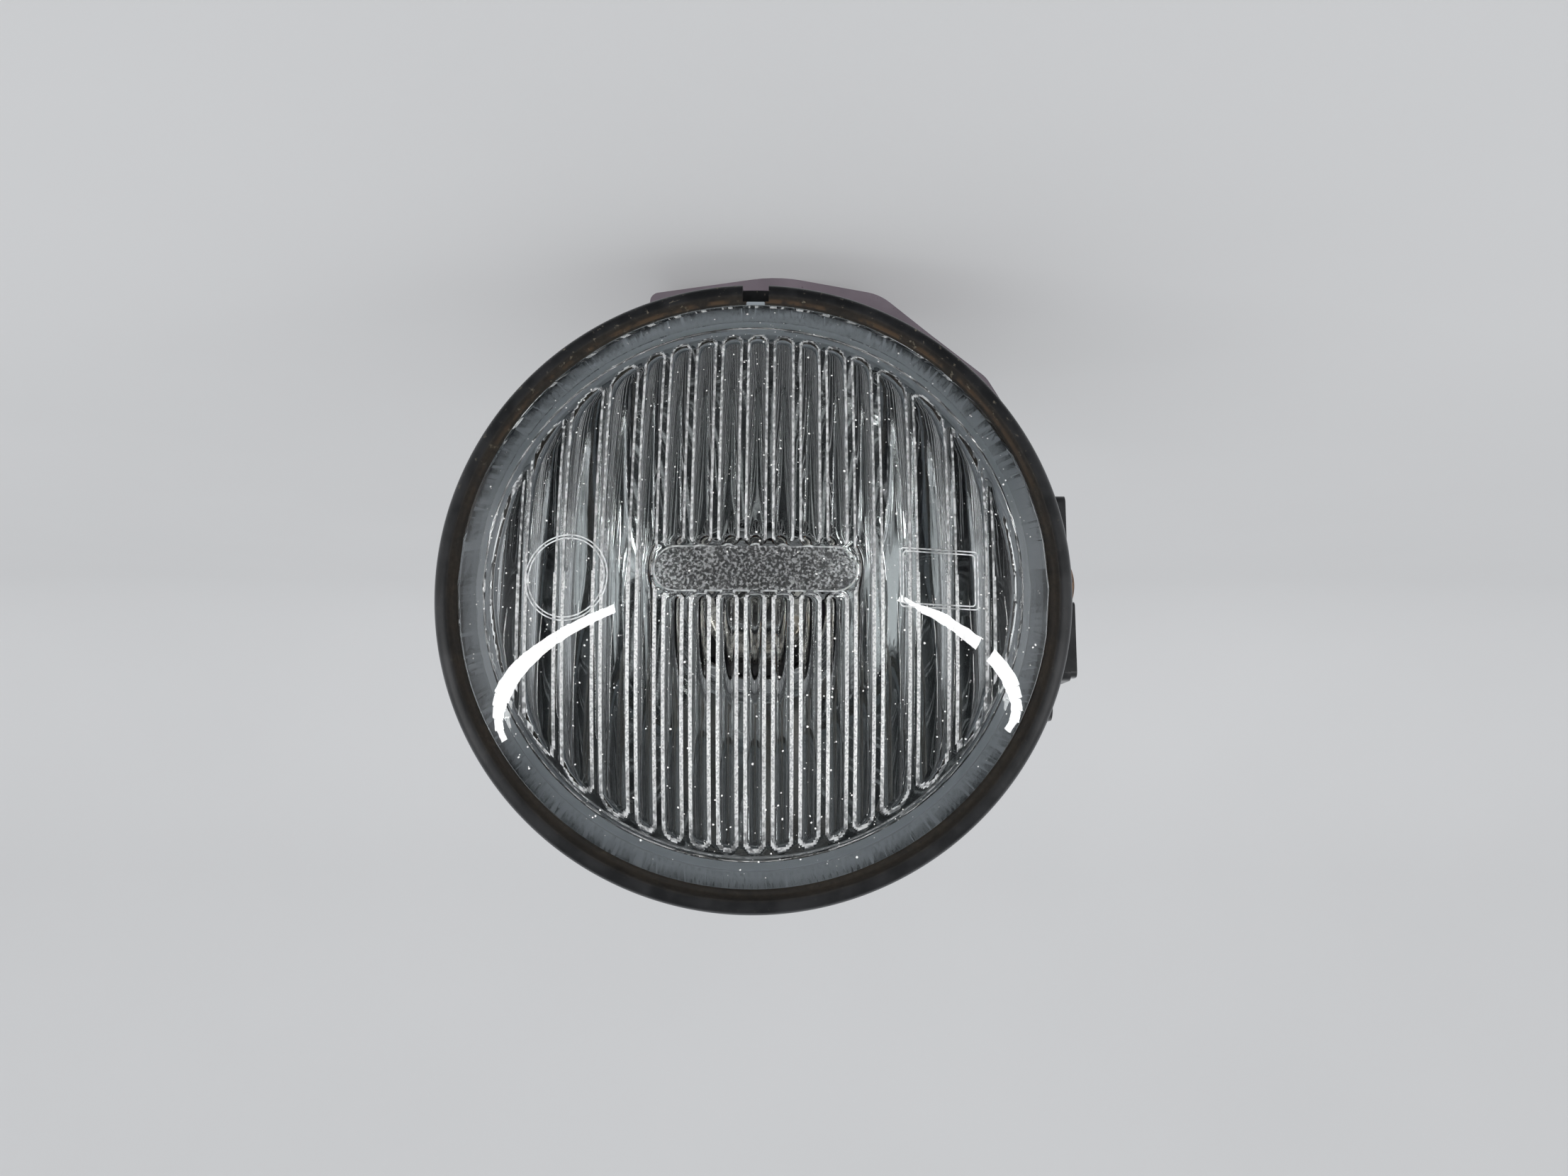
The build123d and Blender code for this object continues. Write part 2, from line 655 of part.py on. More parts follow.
with BuildPart() as vent_elbow:
    with BuildLine() as elbow_path:
        FilletPolyline(
            (VENT_X, ELBOW_START_Y, VENT_Z),
            (VENT_X, ELBOW_BACK_Y, VENT_Z),
            (VENT_X, ELBOW_BACK_Y, ELBOW_END_Z),
            radius=6.0,
        )
    with BuildSketch(Plane(origin=(VENT_X, ELBOW_START_Y, VENT_Z), z_dir=(0, 1, 0))):
        Circle(ELBOW_R)
        Circle(SPIGOT_R, mode=Mode.SUBTRACT)
    sweep()
save("vent_elbow", vent_elbow.part)

with BuildPart() as vent_filter:
    with BuildSketch(Plane.XY.offset(ELBOW_END_Z + 1.0)):
        with Locations((VENT_X, ELBOW_BACK_Y)):
            Circle(SPIGOT_R)
    extrude(amount=FILTER_T)
save("vent_filter", vent_filter.part)

# ---- ear: the lamp's half of the pivot ----
EAR_HEAD_R = 3.8
EAR_SINK = 1.9
EAR_SCREW_L = 11.0
EAR_RECESS_L = 3.6
EAR_RECESS_W = 0.9

with BuildPart() as lamp_ear:
    with BuildSketch(side(EAR_X)) as ear_outline:
        with BuildLine():
            Polyline(
                (20.5, 17.7),
                (20.5, -20.5),
                (34.0, -20.5),
                (42.0, -12.0),
                (42.0, 3.0),
                (32.0, 17.7),
                (20.5, 17.7),
            )
        make_face()
        fillet(ear_outline.vertices(), 2.0)
        with Locations((PIVOT_Y, PIVOT_Z)):
            Circle(SHANK_R + RUNNING, mode=Mode.SUBTRACT)
    extrude(amount=STEEL_T)
    with Locations(Plane(origin=(EAR_X, 0, 0), x_dir=(0, 1, 0), z_dir=(-1, 0, 0))):
        with Locations(*[(y, -z) for y, z in EAR_SCREWS]):
            CounterSinkHole(radius=EAR_SCREW_R, counter_sink_radius=EAR_HEAD_R, depth=STEEL_T)
save("lamp_ear", lamp_ear.part)

with BuildPart() as ear_screws:
    for y, z in EAR_SCREWS:
        with BuildSketch(Plane(origin=(EAR_X, y, z), x_dir=(0, 1, 0), z_dir=(0, 0, 1))):
            with BuildLine():
                Polyline(
                    (0, 0),
                    (EAR_HEAD_R, 0),
                    (EAR_SCREW_R, -EAR_SINK),
                    (EAR_SCREW_R, -EAR_SCREW_L),
                    (0, -EAR_SCREW_L),
                    (0, 0),
                )
            make_face()
        revolve(axis=Axis((EAR_X, y, z), (1, 0, 0)))
    with BuildSketch(side(EAR_X)):
        with Locations(*EAR_SCREWS):
            Rectangle(EAR_RECESS_L, EAR_RECESS_W)
            Rectangle(EAR_RECESS_W, EAR_RECESS_L)
    extrude(amount=1.0, mode=Mode.SUBTRACT)
save("ear_screws", ear_screws.part)

# ---- bracket: side plate, rear mounting flange and the tab that holds the aiming screw ----
BRACKET_BACK_X = BRACKET_X + STEEL_T
BRACKET_FRONT_Y = 24.0
BRACKET_TOP_Z = 11.0
BRACKET_LOW_Z = -20.0
BEND_Y = 50.0  # the side plate is flat up to here
BEND_R = 0.9
BEND_END_X = BRACKET_BACK_X + BEND_R
WAIST_X = -44.0  # the bent strips end here, inside the wider plates
RISE_Y = 40.0  # the side plate rises to the tab's strip from here
ARM_Y = 46.0  # to here
MOUNT_BACK_Y = 66.3
MOUNT_FRONT_Y = MOUNT_BACK_Y - STEEL_T
MOUNT_EDGE_X = -29.5
MOUNT_LOW_Z = -29.0
MOUNT_TOP_Z = 8.0
MOUNT_STRIP_Z = 6.0  # top of the strip that carries the flange
MOUNT_X = -39.5
MOUNT_HOLES_Z = (-22.0, 0.0)
MOUNT_HOLE_R = 4.25
TAB_BACK_Y = 54.3
TAB_FRONT_Y = TAB_BACK_Y - STEEL_T
TAB_LOW_Z = 8.0
TAB_STRIP_Z = 15.0  # top of the strip that carries the tab
TAB_TOP_Z = 33.0
TAB_OUTER_X = -39.5
TAB_SHOULDER_Z = 22.0
TAB_INNER_X = -23.5
TAB_FOOT_X = -30.0
LIP_T = 1.0
LIP_LENGTH = 2.6
LIP_LOW_Z = -2.0
LIP_TOP_Z = 10.5

with BuildPart() as mount_bracket:
    with BuildSketch(side(BRACKET_X)) as side_outline:
        with BuildLine():
            Polyline(
                (BRACKET_FRONT_Y, BRACKET_TOP_Z),
                (BRACKET_FRONT_Y, BRACKET_LOW_Z),
                (BEND_Y, BRACKET_LOW_Z),
                (BEND_Y, TAB_STRIP_Z),
                (ARM_Y, TAB_STRIP_Z),
                (RISE_Y, BRACKET_TOP_Z),
                (BRACKET_FRONT_Y, BRACKET_TOP_Z),
            )
        make_face()
        fillet(side_outline.vertices().group_by(Axis.X)[0], 1.4)
        fillet(side_outline.vertices().sort_by_distance((ARM_Y, TAB_STRIP_Z))[0], 3.0)
        fillet(side_outline.vertices().sort_by_distance((RISE_Y, BRACKET_TOP_Z))[0], 5.0)
    extrude(amount=STEEL_T)
    # two strips bent inwards: one for the rear flange, one for the aiming tab
    for low_z, high_z, back_y in (
        (BRACKET_LOW_Z, MOUNT_STRIP_Z, MOUNT_BACK_Y),
        (TAB_LOW_Z, TAB_STRIP_Z, TAB_BACK_Y),
    ):
        with BuildSketch(Plane.XY.offset(low_z)) as strip:
            with BuildLine():
                Polyline(
                    (BRACKET_X, BEND_Y - OVERLAP),
                    (BRACKET_X, back_y),
                    (WAIST_X, back_y),
                    (WAIST_X, back_y - STEEL_T),
                    (BRACKET_BACK_X, back_y - STEEL_T),
                    (BRACKET_BACK_X, BEND_Y - OVERLAP),
                    (BRACKET_X, BEND_Y - OVERLAP),
                )
            make_face()
            fillet(strip.vertices().sort_by_distance((BRACKET_X, back_y))[0], BEND_R + STEEL_T)
            inner_corner = (BRACKET_BACK_X, back_y - STEEL_T)
            fillet(strip.vertices().sort_by_distance(inner_corner)[0], BEND_R)
        extrude(amount=high_z - low_z)
    # the rear flange widens beyond its bend, and has the two mounting holes
    with BuildSketch(facing(MOUNT_FRONT_Y)) as flange_outline:
        with BuildLine():
            Polyline(
                (BEND_END_X, BRACKET_LOW_Z),
                (WAIST_X, MOUNT_LOW_Z),
                (MOUNT_EDGE_X, MOUNT_LOW_Z),
                (MOUNT_EDGE_X, MOUNT_TOP_Z),
                (WAIST_X, MOUNT_TOP_Z),
                (BEND_END_X, MOUNT_STRIP_Z),
                (BEND_END_X, BRACKET_LOW_Z),
            )
        make_face()
        fillet(flange_outline.vertices().group_by(Axis.X)[-1], 5.0)
        with Locations(*[(MOUNT_X, z) for z in MOUNT_HOLES_Z]):
            Circle(MOUNT_HOLE_R, mode=Mode.SUBTRACT)
    extrude(amount=-STEEL_T)
    # the aiming tab turns up from its bend to the screw's bush
    with BuildSketch(facing(TAB_FRONT_Y)) as tab_outline:
        with BuildLine():
            Polyline(
                (BEND_END_X, TAB_LOW_Z),
                (TAB_FOOT_X, TAB_LOW_Z),
                (TAB_INNER_X, TAB_STRIP_Z),
                (TAB_INNER_X, TAB_TOP_Z),
                (TAB_OUTER_X, TAB_TOP_Z),
                (TAB_OUTER_X, TAB_SHOULDER_Z),
                (BEND_END_X, TAB_STRIP_Z),
                (BEND_END_X, TAB_LOW_Z),
            )
        make_face()
        fillet(tab_outline.vertices().group_by(Axis.Y)[-1], 6.0)
        fillet(tab_outline.vertices().sort_by_distance((TAB_FOOT_X, TAB_LOW_Z))[0], 4.0)
        fillet(tab_outline.vertices().sort_by_distance((TAB_INNER_X, TAB_STRIP_Z))[0], 4.0)
        fillet(tab_outline.vertices().sort_by_distance((TAB_OUTER_X, TAB_SHOULDER_Z))[0], 3.0)
        with Locations((AIM_X, AIM_Z)):
            Circle(NUT_R, mode=Mode.SUBTRACT)
    extrude(amount=-STEEL_T)
    # the lip along the front edge
    with BuildSketch(side(BRACKET_X - LIP_T)) as lip_outline:
        with Locations((BRACKET_FRONT_Y + LIP_LENGTH / 2, (LIP_LOW_Z + LIP_TOP_Z) / 2)):
            Rectangle(LIP_LENGTH, LIP_TOP_Z - LIP_LOW_Z)
        fillet(lip_outline.vertices().group_by(Axis.X)[0], 1.0)
    extrude(amount=LIP_T + OVERLAP)
    with BuildSketch(side(BRACKET_X)):
        with Locations((PIVOT_Y, PIVOT_Z)):
            Circle(SHANK_R)
    extrude(amount=STEEL_T, mode=Mode.SUBTRACT)
save("mount_bracket", mount_bracket.part)

# ---- pivot: domed rivet, washers ----
WASHER_T = 0.8
WASHER_R = 6.5
HEAD_R = 4.9
HEAD_T = 2.1
HEAD_EDGE = 0.5
HEAD_DOME_R = (HEAD_R**2 + (HEAD_T - HEAD_EDGE) ** 2) / (2 * (HEAD_T - HEAD_EDGE))
HALF_WAY_T = HEAD_T - HEAD_DOME_R + sqrt(HEAD_DOME_R**2 - HEAD_R**2 / 4)  # at half the radius
TAIL_T = 2.4
TAIL_EDGE = 1.2
TAIL_R = 4.7
TAIL_END_R = 3.2
PLAY = 0.05  # axial play at the pivot

with BuildPart() as pivot_washer:
    with BuildSketch(side(BRACKET_X - WASHER_T)):
        with Locations((PIVOT_Y, PIVOT_Z)):
            Circle(WASHER_R)
            Circle(SHANK_R, mode=Mode.SUBTRACT)
    extrude(amount=WASHER_T)
save("pivot_washer", pivot_washer.part)

with BuildPart() as friction_washer:
    with BuildSketch(side(BRACKET_BACK_X)):
        with Locations((PIVOT_Y, PIVOT_Z)):
            Circle(WASHER_R)
            Circle(SHANK_R, mode=Mode.SUBTRACT)
    extrude(amount=EAR_X - BRACKET_BACK_X - PLAY)
save("friction_washer", friction_washer.part)

HEAD_X = BRACKET_X - WASHER_T
TAIL_X = EAR_BACK_X + PLAY + WASHER_T

with BuildPart() as pivot_rivet:
    with BuildSketch(Plane(origin=(0, PIVOT_Y, PIVOT_Z), x_dir=(1, 0, 0), z_dir=(0, 0, 1))):
        with BuildLine():
            Line((HEAD_X - HEAD_T, 0), (TAIL_X + TAIL_T, 0))
            Polyline(
                (TAIL_X + TAIL_T, 0),
                (TAIL_X + TAIL_T, TAIL_END_R),
                (TAIL_X + TAIL_EDGE, TAIL_R),
                (TAIL_X, TAIL_R),
                (TAIL_X, SHANK_R),
                (HEAD_X, SHANK_R),
                (HEAD_X, HEAD_R),
                (HEAD_X - HEAD_EDGE, HEAD_R),
            )
            ThreePointArc(
                (HEAD_X - HEAD_EDGE, HEAD_R),
                (HEAD_X - HALF_WAY_T, HEAD_R / 2),
                (HEAD_X - HEAD_T, 0),
            )
        make_face()
    revolve(axis=Axis((0, PIVOT_Y, PIVOT_Z), (1, 0, 0)))
save("pivot_rivet", pivot_rivet.part)

with BuildPart() as backing_washer:
    with BuildSketch(side(EAR_BACK_X + PLAY)):
        with Locations((PIVOT_Y, PIVOT_Z)):
            Circle(WASHER_R)
            Circle(SHANK_R, mode=Mode.SUBTRACT)
    extrude(amount=WASHER_T)
save("backing_washer", backing_washer.part)

# ---- aiming: screw and clip turn in a bush in the bracket, through a nut in the housing ----
GROMMET_FLANGE_R = 7.0
GROMMET_FLANGE_T = 1.2
CLIP_T = 0.8
SCREW_END_Y = 24.0
HEX_ACROSS = 10.0
HEX_T = 4.2
HEX_SLOT_L = 5.0
HEX_SLOT_W = 1.1
HEX_SLOT_DEPTH = 2.0
AIM_NUT_BORE_R = 3.5  # opened from the thread, because the tilting nut leaves the screw's line
NUT_FLANGE_R = 6.5
NUT_FLANGE_T = 1.2
BUSH_FRONT_Y = TAB_FRONT_Y - GROMMET_FLANGE_T
BUSH_BACK_Y = TAB_BACK_Y + GROMMET_FLANGE_T
HEX_FRONT_Y = BUSH_BACK_Y + CLEAR
CLIP_FRONT_Y = BUSH_FRONT_Y - CLEAR - CLIP_T
CLIP_R = 4.8
CLIP_MOUTH = 2.6

with BuildPart() as aim_grommet:
    for start_y, radius, length in (
        (BUSH_FRONT_Y, GROMMET_FLANGE_R, GROMMET_FLANGE_T),
        (TAB_FRONT_Y, NUT_R, STEEL_T),
        (TAB_BACK_Y, GROMMET_FLANGE_R, GROMMET_FLANGE_T),
    ):
        with BuildSketch(facing(start_y)):
            with Locations((AIM_X, AIM_Z)):
                Circle(radius)
                Circle(SHANK_R + RUNNING, mode=Mode.SUBTRACT)
        extrude(amount=-length)
save("aim_grommet", aim_grommet.part)

with BuildPart() as aim_screw:
    with BuildSketch(facing(SCREW_END_Y)):
        with Locations((AIM_X, AIM_Z)):
            Circle(SHANK_R)
    extrude(amount=-(HEX_FRONT_Y - SCREW_END_Y))
    chamfer(aim_screw.faces().sort_by(Axis.Y)[0].edges(), 0.7)
    with BuildSketch(facing(HEX_FRONT_Y)):
        with Locations((AIM_X, AIM_Z)):
            RegularPolygon(HEX_ACROSS / 2, 6, major_radius=False)
    extrude(amount=-HEX_T)
    with BuildSketch(facing(HEX_FRONT_Y + HEX_T)):
        with Locations((AIM_X, AIM_Z)):
            Rectangle(HEX_SLOT_L, HEX_SLOT_W)
            Rectangle(HEX_SLOT_W, HEX_SLOT_L)
    extrude(amount=HEX_SLOT_DEPTH, mode=Mode.SUBTRACT)
save("aim_screw", aim_screw.part)

with BuildPart() as aim_clip:
    with BuildSketch(facing(CLIP_FRONT_Y)):
        with Locations((AIM_X, AIM_Z)):
            Circle(CLIP_R)
            Circle(SHANK_R, mode=Mode.SUBTRACT)
            with Locations((0, SHANK_R)):
                Rectangle(CLIP_MOUTH, 2 * SHANK_R, mode=Mode.SUBTRACT)
    extrude(amount=-CLIP_T)
save("aim_clip", aim_clip.part)

with BuildPart() as aim_nut:
    for start_y, radius, length in (
        (NUT_FRONT_Y, NUT_R, POST_BACK_Y - NUT_FRONT_Y),
        (POST_BACK_Y, NUT_FLANGE_R, NUT_FLANGE_T),
    ):
        with BuildSketch(facing(start_y)):
            with Locations((AIM_X, AIM_Z)):
                Circle(radius)
                Circle(AIM_NUT_BORE_R, mode=Mode.SUBTRACT)
        extrude(amount=-length)
save("aim_nut", aim_nut.part)
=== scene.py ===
import json
import random
from math import acos, atan2, cos, hypot, pi, radians, sin, sqrt

import bmesh
import bpy
from mathutils import Matrix, Vector
from mathutils.geometry import interpolate_bezier


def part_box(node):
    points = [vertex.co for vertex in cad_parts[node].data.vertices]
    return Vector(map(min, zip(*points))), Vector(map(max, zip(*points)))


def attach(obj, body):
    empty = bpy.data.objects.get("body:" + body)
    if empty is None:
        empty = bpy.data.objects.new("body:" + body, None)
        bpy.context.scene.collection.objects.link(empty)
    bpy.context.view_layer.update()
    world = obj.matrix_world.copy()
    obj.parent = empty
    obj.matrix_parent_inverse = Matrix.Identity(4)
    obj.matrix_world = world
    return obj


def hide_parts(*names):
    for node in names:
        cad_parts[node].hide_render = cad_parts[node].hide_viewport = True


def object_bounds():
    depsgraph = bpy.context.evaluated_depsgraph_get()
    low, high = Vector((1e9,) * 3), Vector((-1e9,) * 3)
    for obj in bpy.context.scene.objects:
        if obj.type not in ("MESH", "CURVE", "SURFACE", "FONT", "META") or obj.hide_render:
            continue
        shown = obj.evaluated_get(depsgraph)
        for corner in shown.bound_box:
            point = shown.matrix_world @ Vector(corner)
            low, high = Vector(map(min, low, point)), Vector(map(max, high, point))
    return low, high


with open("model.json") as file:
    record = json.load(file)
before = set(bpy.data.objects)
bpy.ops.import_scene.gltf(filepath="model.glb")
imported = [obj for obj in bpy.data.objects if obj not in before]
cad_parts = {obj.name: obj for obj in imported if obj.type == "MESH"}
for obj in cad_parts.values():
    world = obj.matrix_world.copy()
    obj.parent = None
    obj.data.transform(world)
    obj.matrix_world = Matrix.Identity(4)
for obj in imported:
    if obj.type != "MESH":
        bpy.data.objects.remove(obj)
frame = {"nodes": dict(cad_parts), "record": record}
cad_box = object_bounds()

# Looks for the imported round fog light. Metres, in the frame of the CAD model: the lens faces -Y,
# +Z is up on the car, and the steel bracket is on the -X side.

MM = 0.001
record = frame["record"]
BODY_OF = {n: body for body, nodes in record["behaviour"]["bodies"].items() for n in nodes}

# ---- driving sizes, in metres, as in the CAD model ----
SEAT_Y = 1.5 * MM  # the glass's rim sits on the seal here
SEAL_BACK_Y = 3.0 * MM
SEAL_INNER_R = 38.0 * MM
KEY_HALF = 1.4 * MM  # the seal's key, which stands in the ring's notch
KEY_BACK_Y = SEAL_BACK_Y - 0.1 * MM

LENS_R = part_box("lens")[1].x
LENS_FRONT_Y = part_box("lens")[0].y
LENS_EDGE_Y = -2.3 * MM
DOME_R = 90 * MM
DOME_CENTRE_Y = LENS_EDGE_Y + sqrt(DOME_R**2 - LENS_R**2)
GLASS_T = 3.0 * MM
RIM_INNER_R = LENS_R - 3.0 * MM
RIM_CHAMFER = 0.4 * MM

RING_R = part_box("bezel_ring")[1].x
RING_FRONT_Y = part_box("bezel_ring")[0].y
RING_BACK_Y = 9.0 * MM
RING_INNER_R = 44.6 * MM
RING_CHAMFER = 0.3 * MM
LIP_Y = -1.7 * MM  # the ring's edge on the glass
GROOVE_R = 43.3 * MM
GROOVE_Y = -1.3 * MM
RIDGE_R = 43.9 * MM
RIDGE_Y = -2.3 * MM
SHOULDER_Y = -1.0 * MM
FACE_CROWN = 0.55 * MM  # how far the ring's face bulges
NOTCH_HALF = 1.95 * MM
NOTCH_FLOOR_Y = 0.9 * MM

MIRROR_R = 37.6 * MM
FOCAL = 15 * MM
MIRROR_POLE_Y = SEAL_BACK_Y + MIRROR_R**2 / (4 * FOCAL)
MIRROR_SEAT_R = 14.8 * MM
BOWL_T = 2.6 * MM
FLANGE_T = 2.0 * MM
NECK_R = 13.4 * MM
NECK_BACK_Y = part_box("reflector")[1].y
BULB_HOLE_R = 11.0 * MM


# ---- meshes ----
def add_object(name, data):
    made = bpy.data.objects.new(name, data)
    bpy.context.scene.collection.objects.link(made)
    return made


def new_piece(name, mesh, body, nodes=()):
    """Adds a piece, says which body moves it, and the CAD nodes that it stands for."""
    piece = add_object(name, mesh)
    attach(piece, body)
    if nodes:
        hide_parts(*nodes)
    return piece


def shade_smooth(mesh, sharp=None):
    """Shades a mesh smooth; edges that turn by more than sharp, in degrees, stay hard."""
    for face in mesh.polygons:
        face.use_smooth = True
    if sharp:
        mesh.set_sharp_from_angle(angle=radians(sharp))


def plain_mesh(name, verts, faces):
    mesh = bpy.data.meshes.new(name)
    mesh.from_pydata(verts, [], faces)
    return mesh


def mesh_of(name, verts, faces, sharp=35.0):
    """A mesh with its doubles welded and its faces turned outwards, shaded smooth."""
    mesh = plain_mesh(name, verts, faces)
    bm = bmesh.new()
    bm.from_mesh(mesh)
    bmesh.ops.remove_doubles(bm, verts=bm.verts, dist=0.0001 * MM)
    bmesh.ops.recalc_face_normals(bm, faces=bm.faces)
    bm.to_mesh(mesh)
    bm.free()
    shade_smooth(mesh, sharp)
    return mesh


def ring_faces(rings, around):
    """Faces that join rings of points, each ring to the next and the last to the first."""
    faces = []
    for i in range(rings):
        j = (i + 1) % rings
        for k in range(around):
            m = (k + 1) % around
            faces.append((i * around + k, i * around + m, j * around + m, j * around + k))
    return faces


def lathe(name, profile, steps=256):
    """Revolves a closed profile of (radius, y) points about the lens axis."""
    verts = []
    for i in range(steps):
        a = 2 * pi * i / steps
        verts += [(r * cos(a), y, r * sin(a)) for r, y in profile]
    return mesh_of(name, verts, ring_faces(steps, len(profile)))


def rounded(points, radius, steps=5):
    """A closed profile with each corner turned into an arc."""
    out = []
    for i, corner in enumerate(points):
        p = Vector(corner)
        before = (Vector(points[i - 1]) - p).normalized()
        after = (Vector(points[(i + 1) % len(points)]) - p).normalized()
        half = before.angle(after) / 2
        start = p + before * radius / (sin(half) / cos(half))
        end = p + after * radius / (sin(half) / cos(half))
        centre = p + (before + after).normalized() * radius / sin(half)
        turn = (start - centre).angle_signed(end - centre)
        for k in range(steps + 1):
            out.append(tuple(centre + Matrix.Rotation(-turn * k / steps, 2) @ (start - centre)))
    return out


def apply_modifiers(obj):
    """Makes the mesh what its modifiers give."""
    mesh = bpy.data.meshes.new_from_object(obj.evaluated_get(bpy.context.evaluated_depsgraph_get()))
    obj.modifiers.clear()
    obj.data = mesh


def round_edges(obj, width, segments, **limits):
    """Bevels a piece's edges, with any further settings of the modifier."""
    bevel = obj.modifiers.new("round", "BEVEL")
    bevel.width = width
    bevel.segments = segments
    for key, value in limits.items():
        setattr(bevel, key, value)
    apply_modifiers(obj)


def cut(obj, tool_mesh):
    """Takes a closed mesh away from a piece."""
    tool = add_object("cutter", tool_mesh)
    boolean = obj.modifiers.new("cut", "BOOLEAN")
    boolean.operation = "DIFFERENCE"
    boolean.solver = "EXACT"
    boolean.object = tool
    apply_modifiers(obj)
    bpy.data.objects.remove(tool)


def box_mesh(low, high):
    bm = bmesh.new()
    bmesh.ops.create_cube(bm, size=1.0)
    for v in bm.verts:
        v.co = [low[i] if v.co[i] < 0 else high[i] for i in range(3)]
    mesh = bpy.data.meshes.new("box")
    bm.to_mesh(mesh)
    bm.free()
    return mesh


CAD_WELD = 0.002 * MM
FLAT_ANGLE = 0.6  # degrees; faces that turn by less are joined
EDGE_ANGLE = 32.0  # edges that turn by more are rounded


def refined(node, bevel):
    """A copy of a CAD node with small rounded edges, which stands for the node."""
    mesh = frame["nodes"][node].data.copy()
    mesh.materials.clear()
    bm = bmesh.new()
    bm.from_mesh(mesh)
    bmesh.ops.remove_doubles(bm, verts=bm.verts, dist=CAD_WELD)
    bmesh.ops.dissolve_limit(bm, angle_limit=radians(FLAT_ANGLE), verts=bm.verts, edges=bm.edges)
    bmesh.ops.recalc_face_normals(bm, faces=bm.faces)
    bm.to_mesh(mesh)
    bm.free()
    piece = new_piece(node + "_body", mesh, BODY_OF[node], [node])
    if bevel:
        limits = {"limit_method": "ANGLE", "angle_limit": radians(EDGE_ANGLE), "miter_outer": "MITER_ARC"}
        round_edges(piece, bevel, 2, use_clamp_overlap=True, **limits)
    shade_smooth(piece.data, EDGE_ANGLE)
    weighted = piece.modifiers.new("normals", "WEIGHTED_NORMAL")
    weighted.keep_sharp = True
    apply_modifiers(piece)
    return piece


# ---- materials ----
class Tree:
    """A node tree, and short ways to add nodes to it."""

    def __init__(self, tree):
        self.tree = tree

    def node(self, kind, **values):
        made = self.tree.nodes.new(kind)
        for key, value in values.items():
            setattr(made, key, value)
        return made

    def link(self, source, target):
        self.tree.links.new(source, target)

    def put(self, socket, value):
        """Gives a socket a number, a colour, or what another node puts out."""
        if isinstance(value, tuple):
            socket.default_value = (*value, 1)
        elif isinstance(value, (int, float)):
            socket.default_value = value
        else:
            self.link(value, socket)

    def feed(self, node, **values):
        for key, value in values.items():
            self.put(node.inputs[key.replace("_", " ")], value)

    def math(self, operation, *values):
        made = self.node("ShaderNodeMath", operation=operation)
        for value, socket in zip(values, made.inputs):
            self.put(socket, value)
        return made.outputs[0]

    def times(self, first, *others):
        """The product of two or more values."""
        product = first
        for other in others:
            product = self.math("MULTIPLY", product, other)
        return product

    def span(self, source, low, high, to_low=0.0, to_high=1.0):
        """Maps a value from low..high smoothly to to_low..to_high, and holds it there beyond."""
        made = self.node("ShaderNodeMapRange", interpolation_type="SMOOTHSTEP")
        self.feed(made, Value=source, From_Min=low, From_Max=high, To_Min=to_low, To_Max=to_high)
        return made.outputs["Result"]

    def blend(self, share, low, high):
        """A colour between two: low where the share is 0, and high where it is 1."""
        made = self.node("ShaderNodeMix", data_type="RGBA")
        for key, value in (("Factor", share), (6, low), (7, high)):
            self.put(made.inputs[key], value)
        return made.outputs[2]


class Surface(Tree):
    """A Principled material, and short ways to give it procedural detail in object space."""

    def __init__(self, name, colour, roughness, metallic=0.0):
        self.material = bpy.data.materials.new(name)
        self.material.use_nodes = True
        super().__init__(self.material.node_tree)
        self.bsdf = self.tree.nodes["Principled BSDF"]
        self.coords = self.node("ShaderNodeTexCoord").outputs["Object"]
        self.set(Base_Color=colour, Roughness=roughness, Metallic=metallic)

    def set(self, **values):
        self.feed(self.bsdf, **values)

    def paint(self, colour):
        self.set(Base_Color=colour)

    def rough(self, value):
        self.set(Roughness=value)

    def noise(self, scale, detail=3.0, rough=0.5):
        """Noise whose features are about 1/scale metres across."""
        made = self.node("ShaderNodeTexNoise")
        self.feed(made, Vector=self.coords, Scale=scale, Detail=detail, Roughness=rough)
        return made.outputs["Fac"]

    def axis(self, name):
        made = self.node("ShaderNodeSeparateXYZ")
        self.link(self.coords, made.inputs[0])
        return made.outputs[name]

    def radius(self):
        """Distance from the lens axis."""
        flat = self.node("ShaderNodeVectorMath", operation="MULTIPLY")
        flat.inputs[1].default_value = (1, 0, 1)
        self.link(self.coords, flat.inputs[0])
        length = self.node("ShaderNodeVectorMath", operation="LENGTH")
        self.link(flat.outputs[0], length.inputs[0])
        return length.outputs["Value"]

    def bump(self, height, distance, strength):
        """Raises the surface where the height is 1, on top of any bump before it."""
        made = self.node("ShaderNodeBump")
        self.feed(made, Height=height, Distance=distance, Strength=strength)
        normal = self.bsdf.inputs["Normal"]
        if normal.links:
            self.link(normal.links[0].from_socket, made.inputs["Normal"])
        self.link(made.outputs["Normal"], normal)

    def pass_lamps(self):
        """Lets lamps shine through clear glass, so that what is behind it is lit."""
        mix = self.node("ShaderNodeMixShader")
        self.link(self.node("ShaderNodeLightPath").outputs["Is Shadow Ray"], mix.inputs[0])
        self.link(self.bsdf.outputs[0], mix.inputs[1])
        self.link(self.node("ShaderNodeBsdfTransparent").outputs[0], mix.inputs[2])
        self.link(mix.outputs[0], self.tree.nodes["Material Output"].inputs["Surface"])


def give(surface, *pieces):
    for piece in pieces:
        piece.data.materials.clear()
        piece.data.materials.append(surface.material)


def clear_glass(name, roughness=0.0):
    s = Surface(name, (0.97, 0.985, 0.98), roughness)
    s.set(Transmission_Weight=1.0, IOR=1.5)
    s.pass_lamps()
    return s


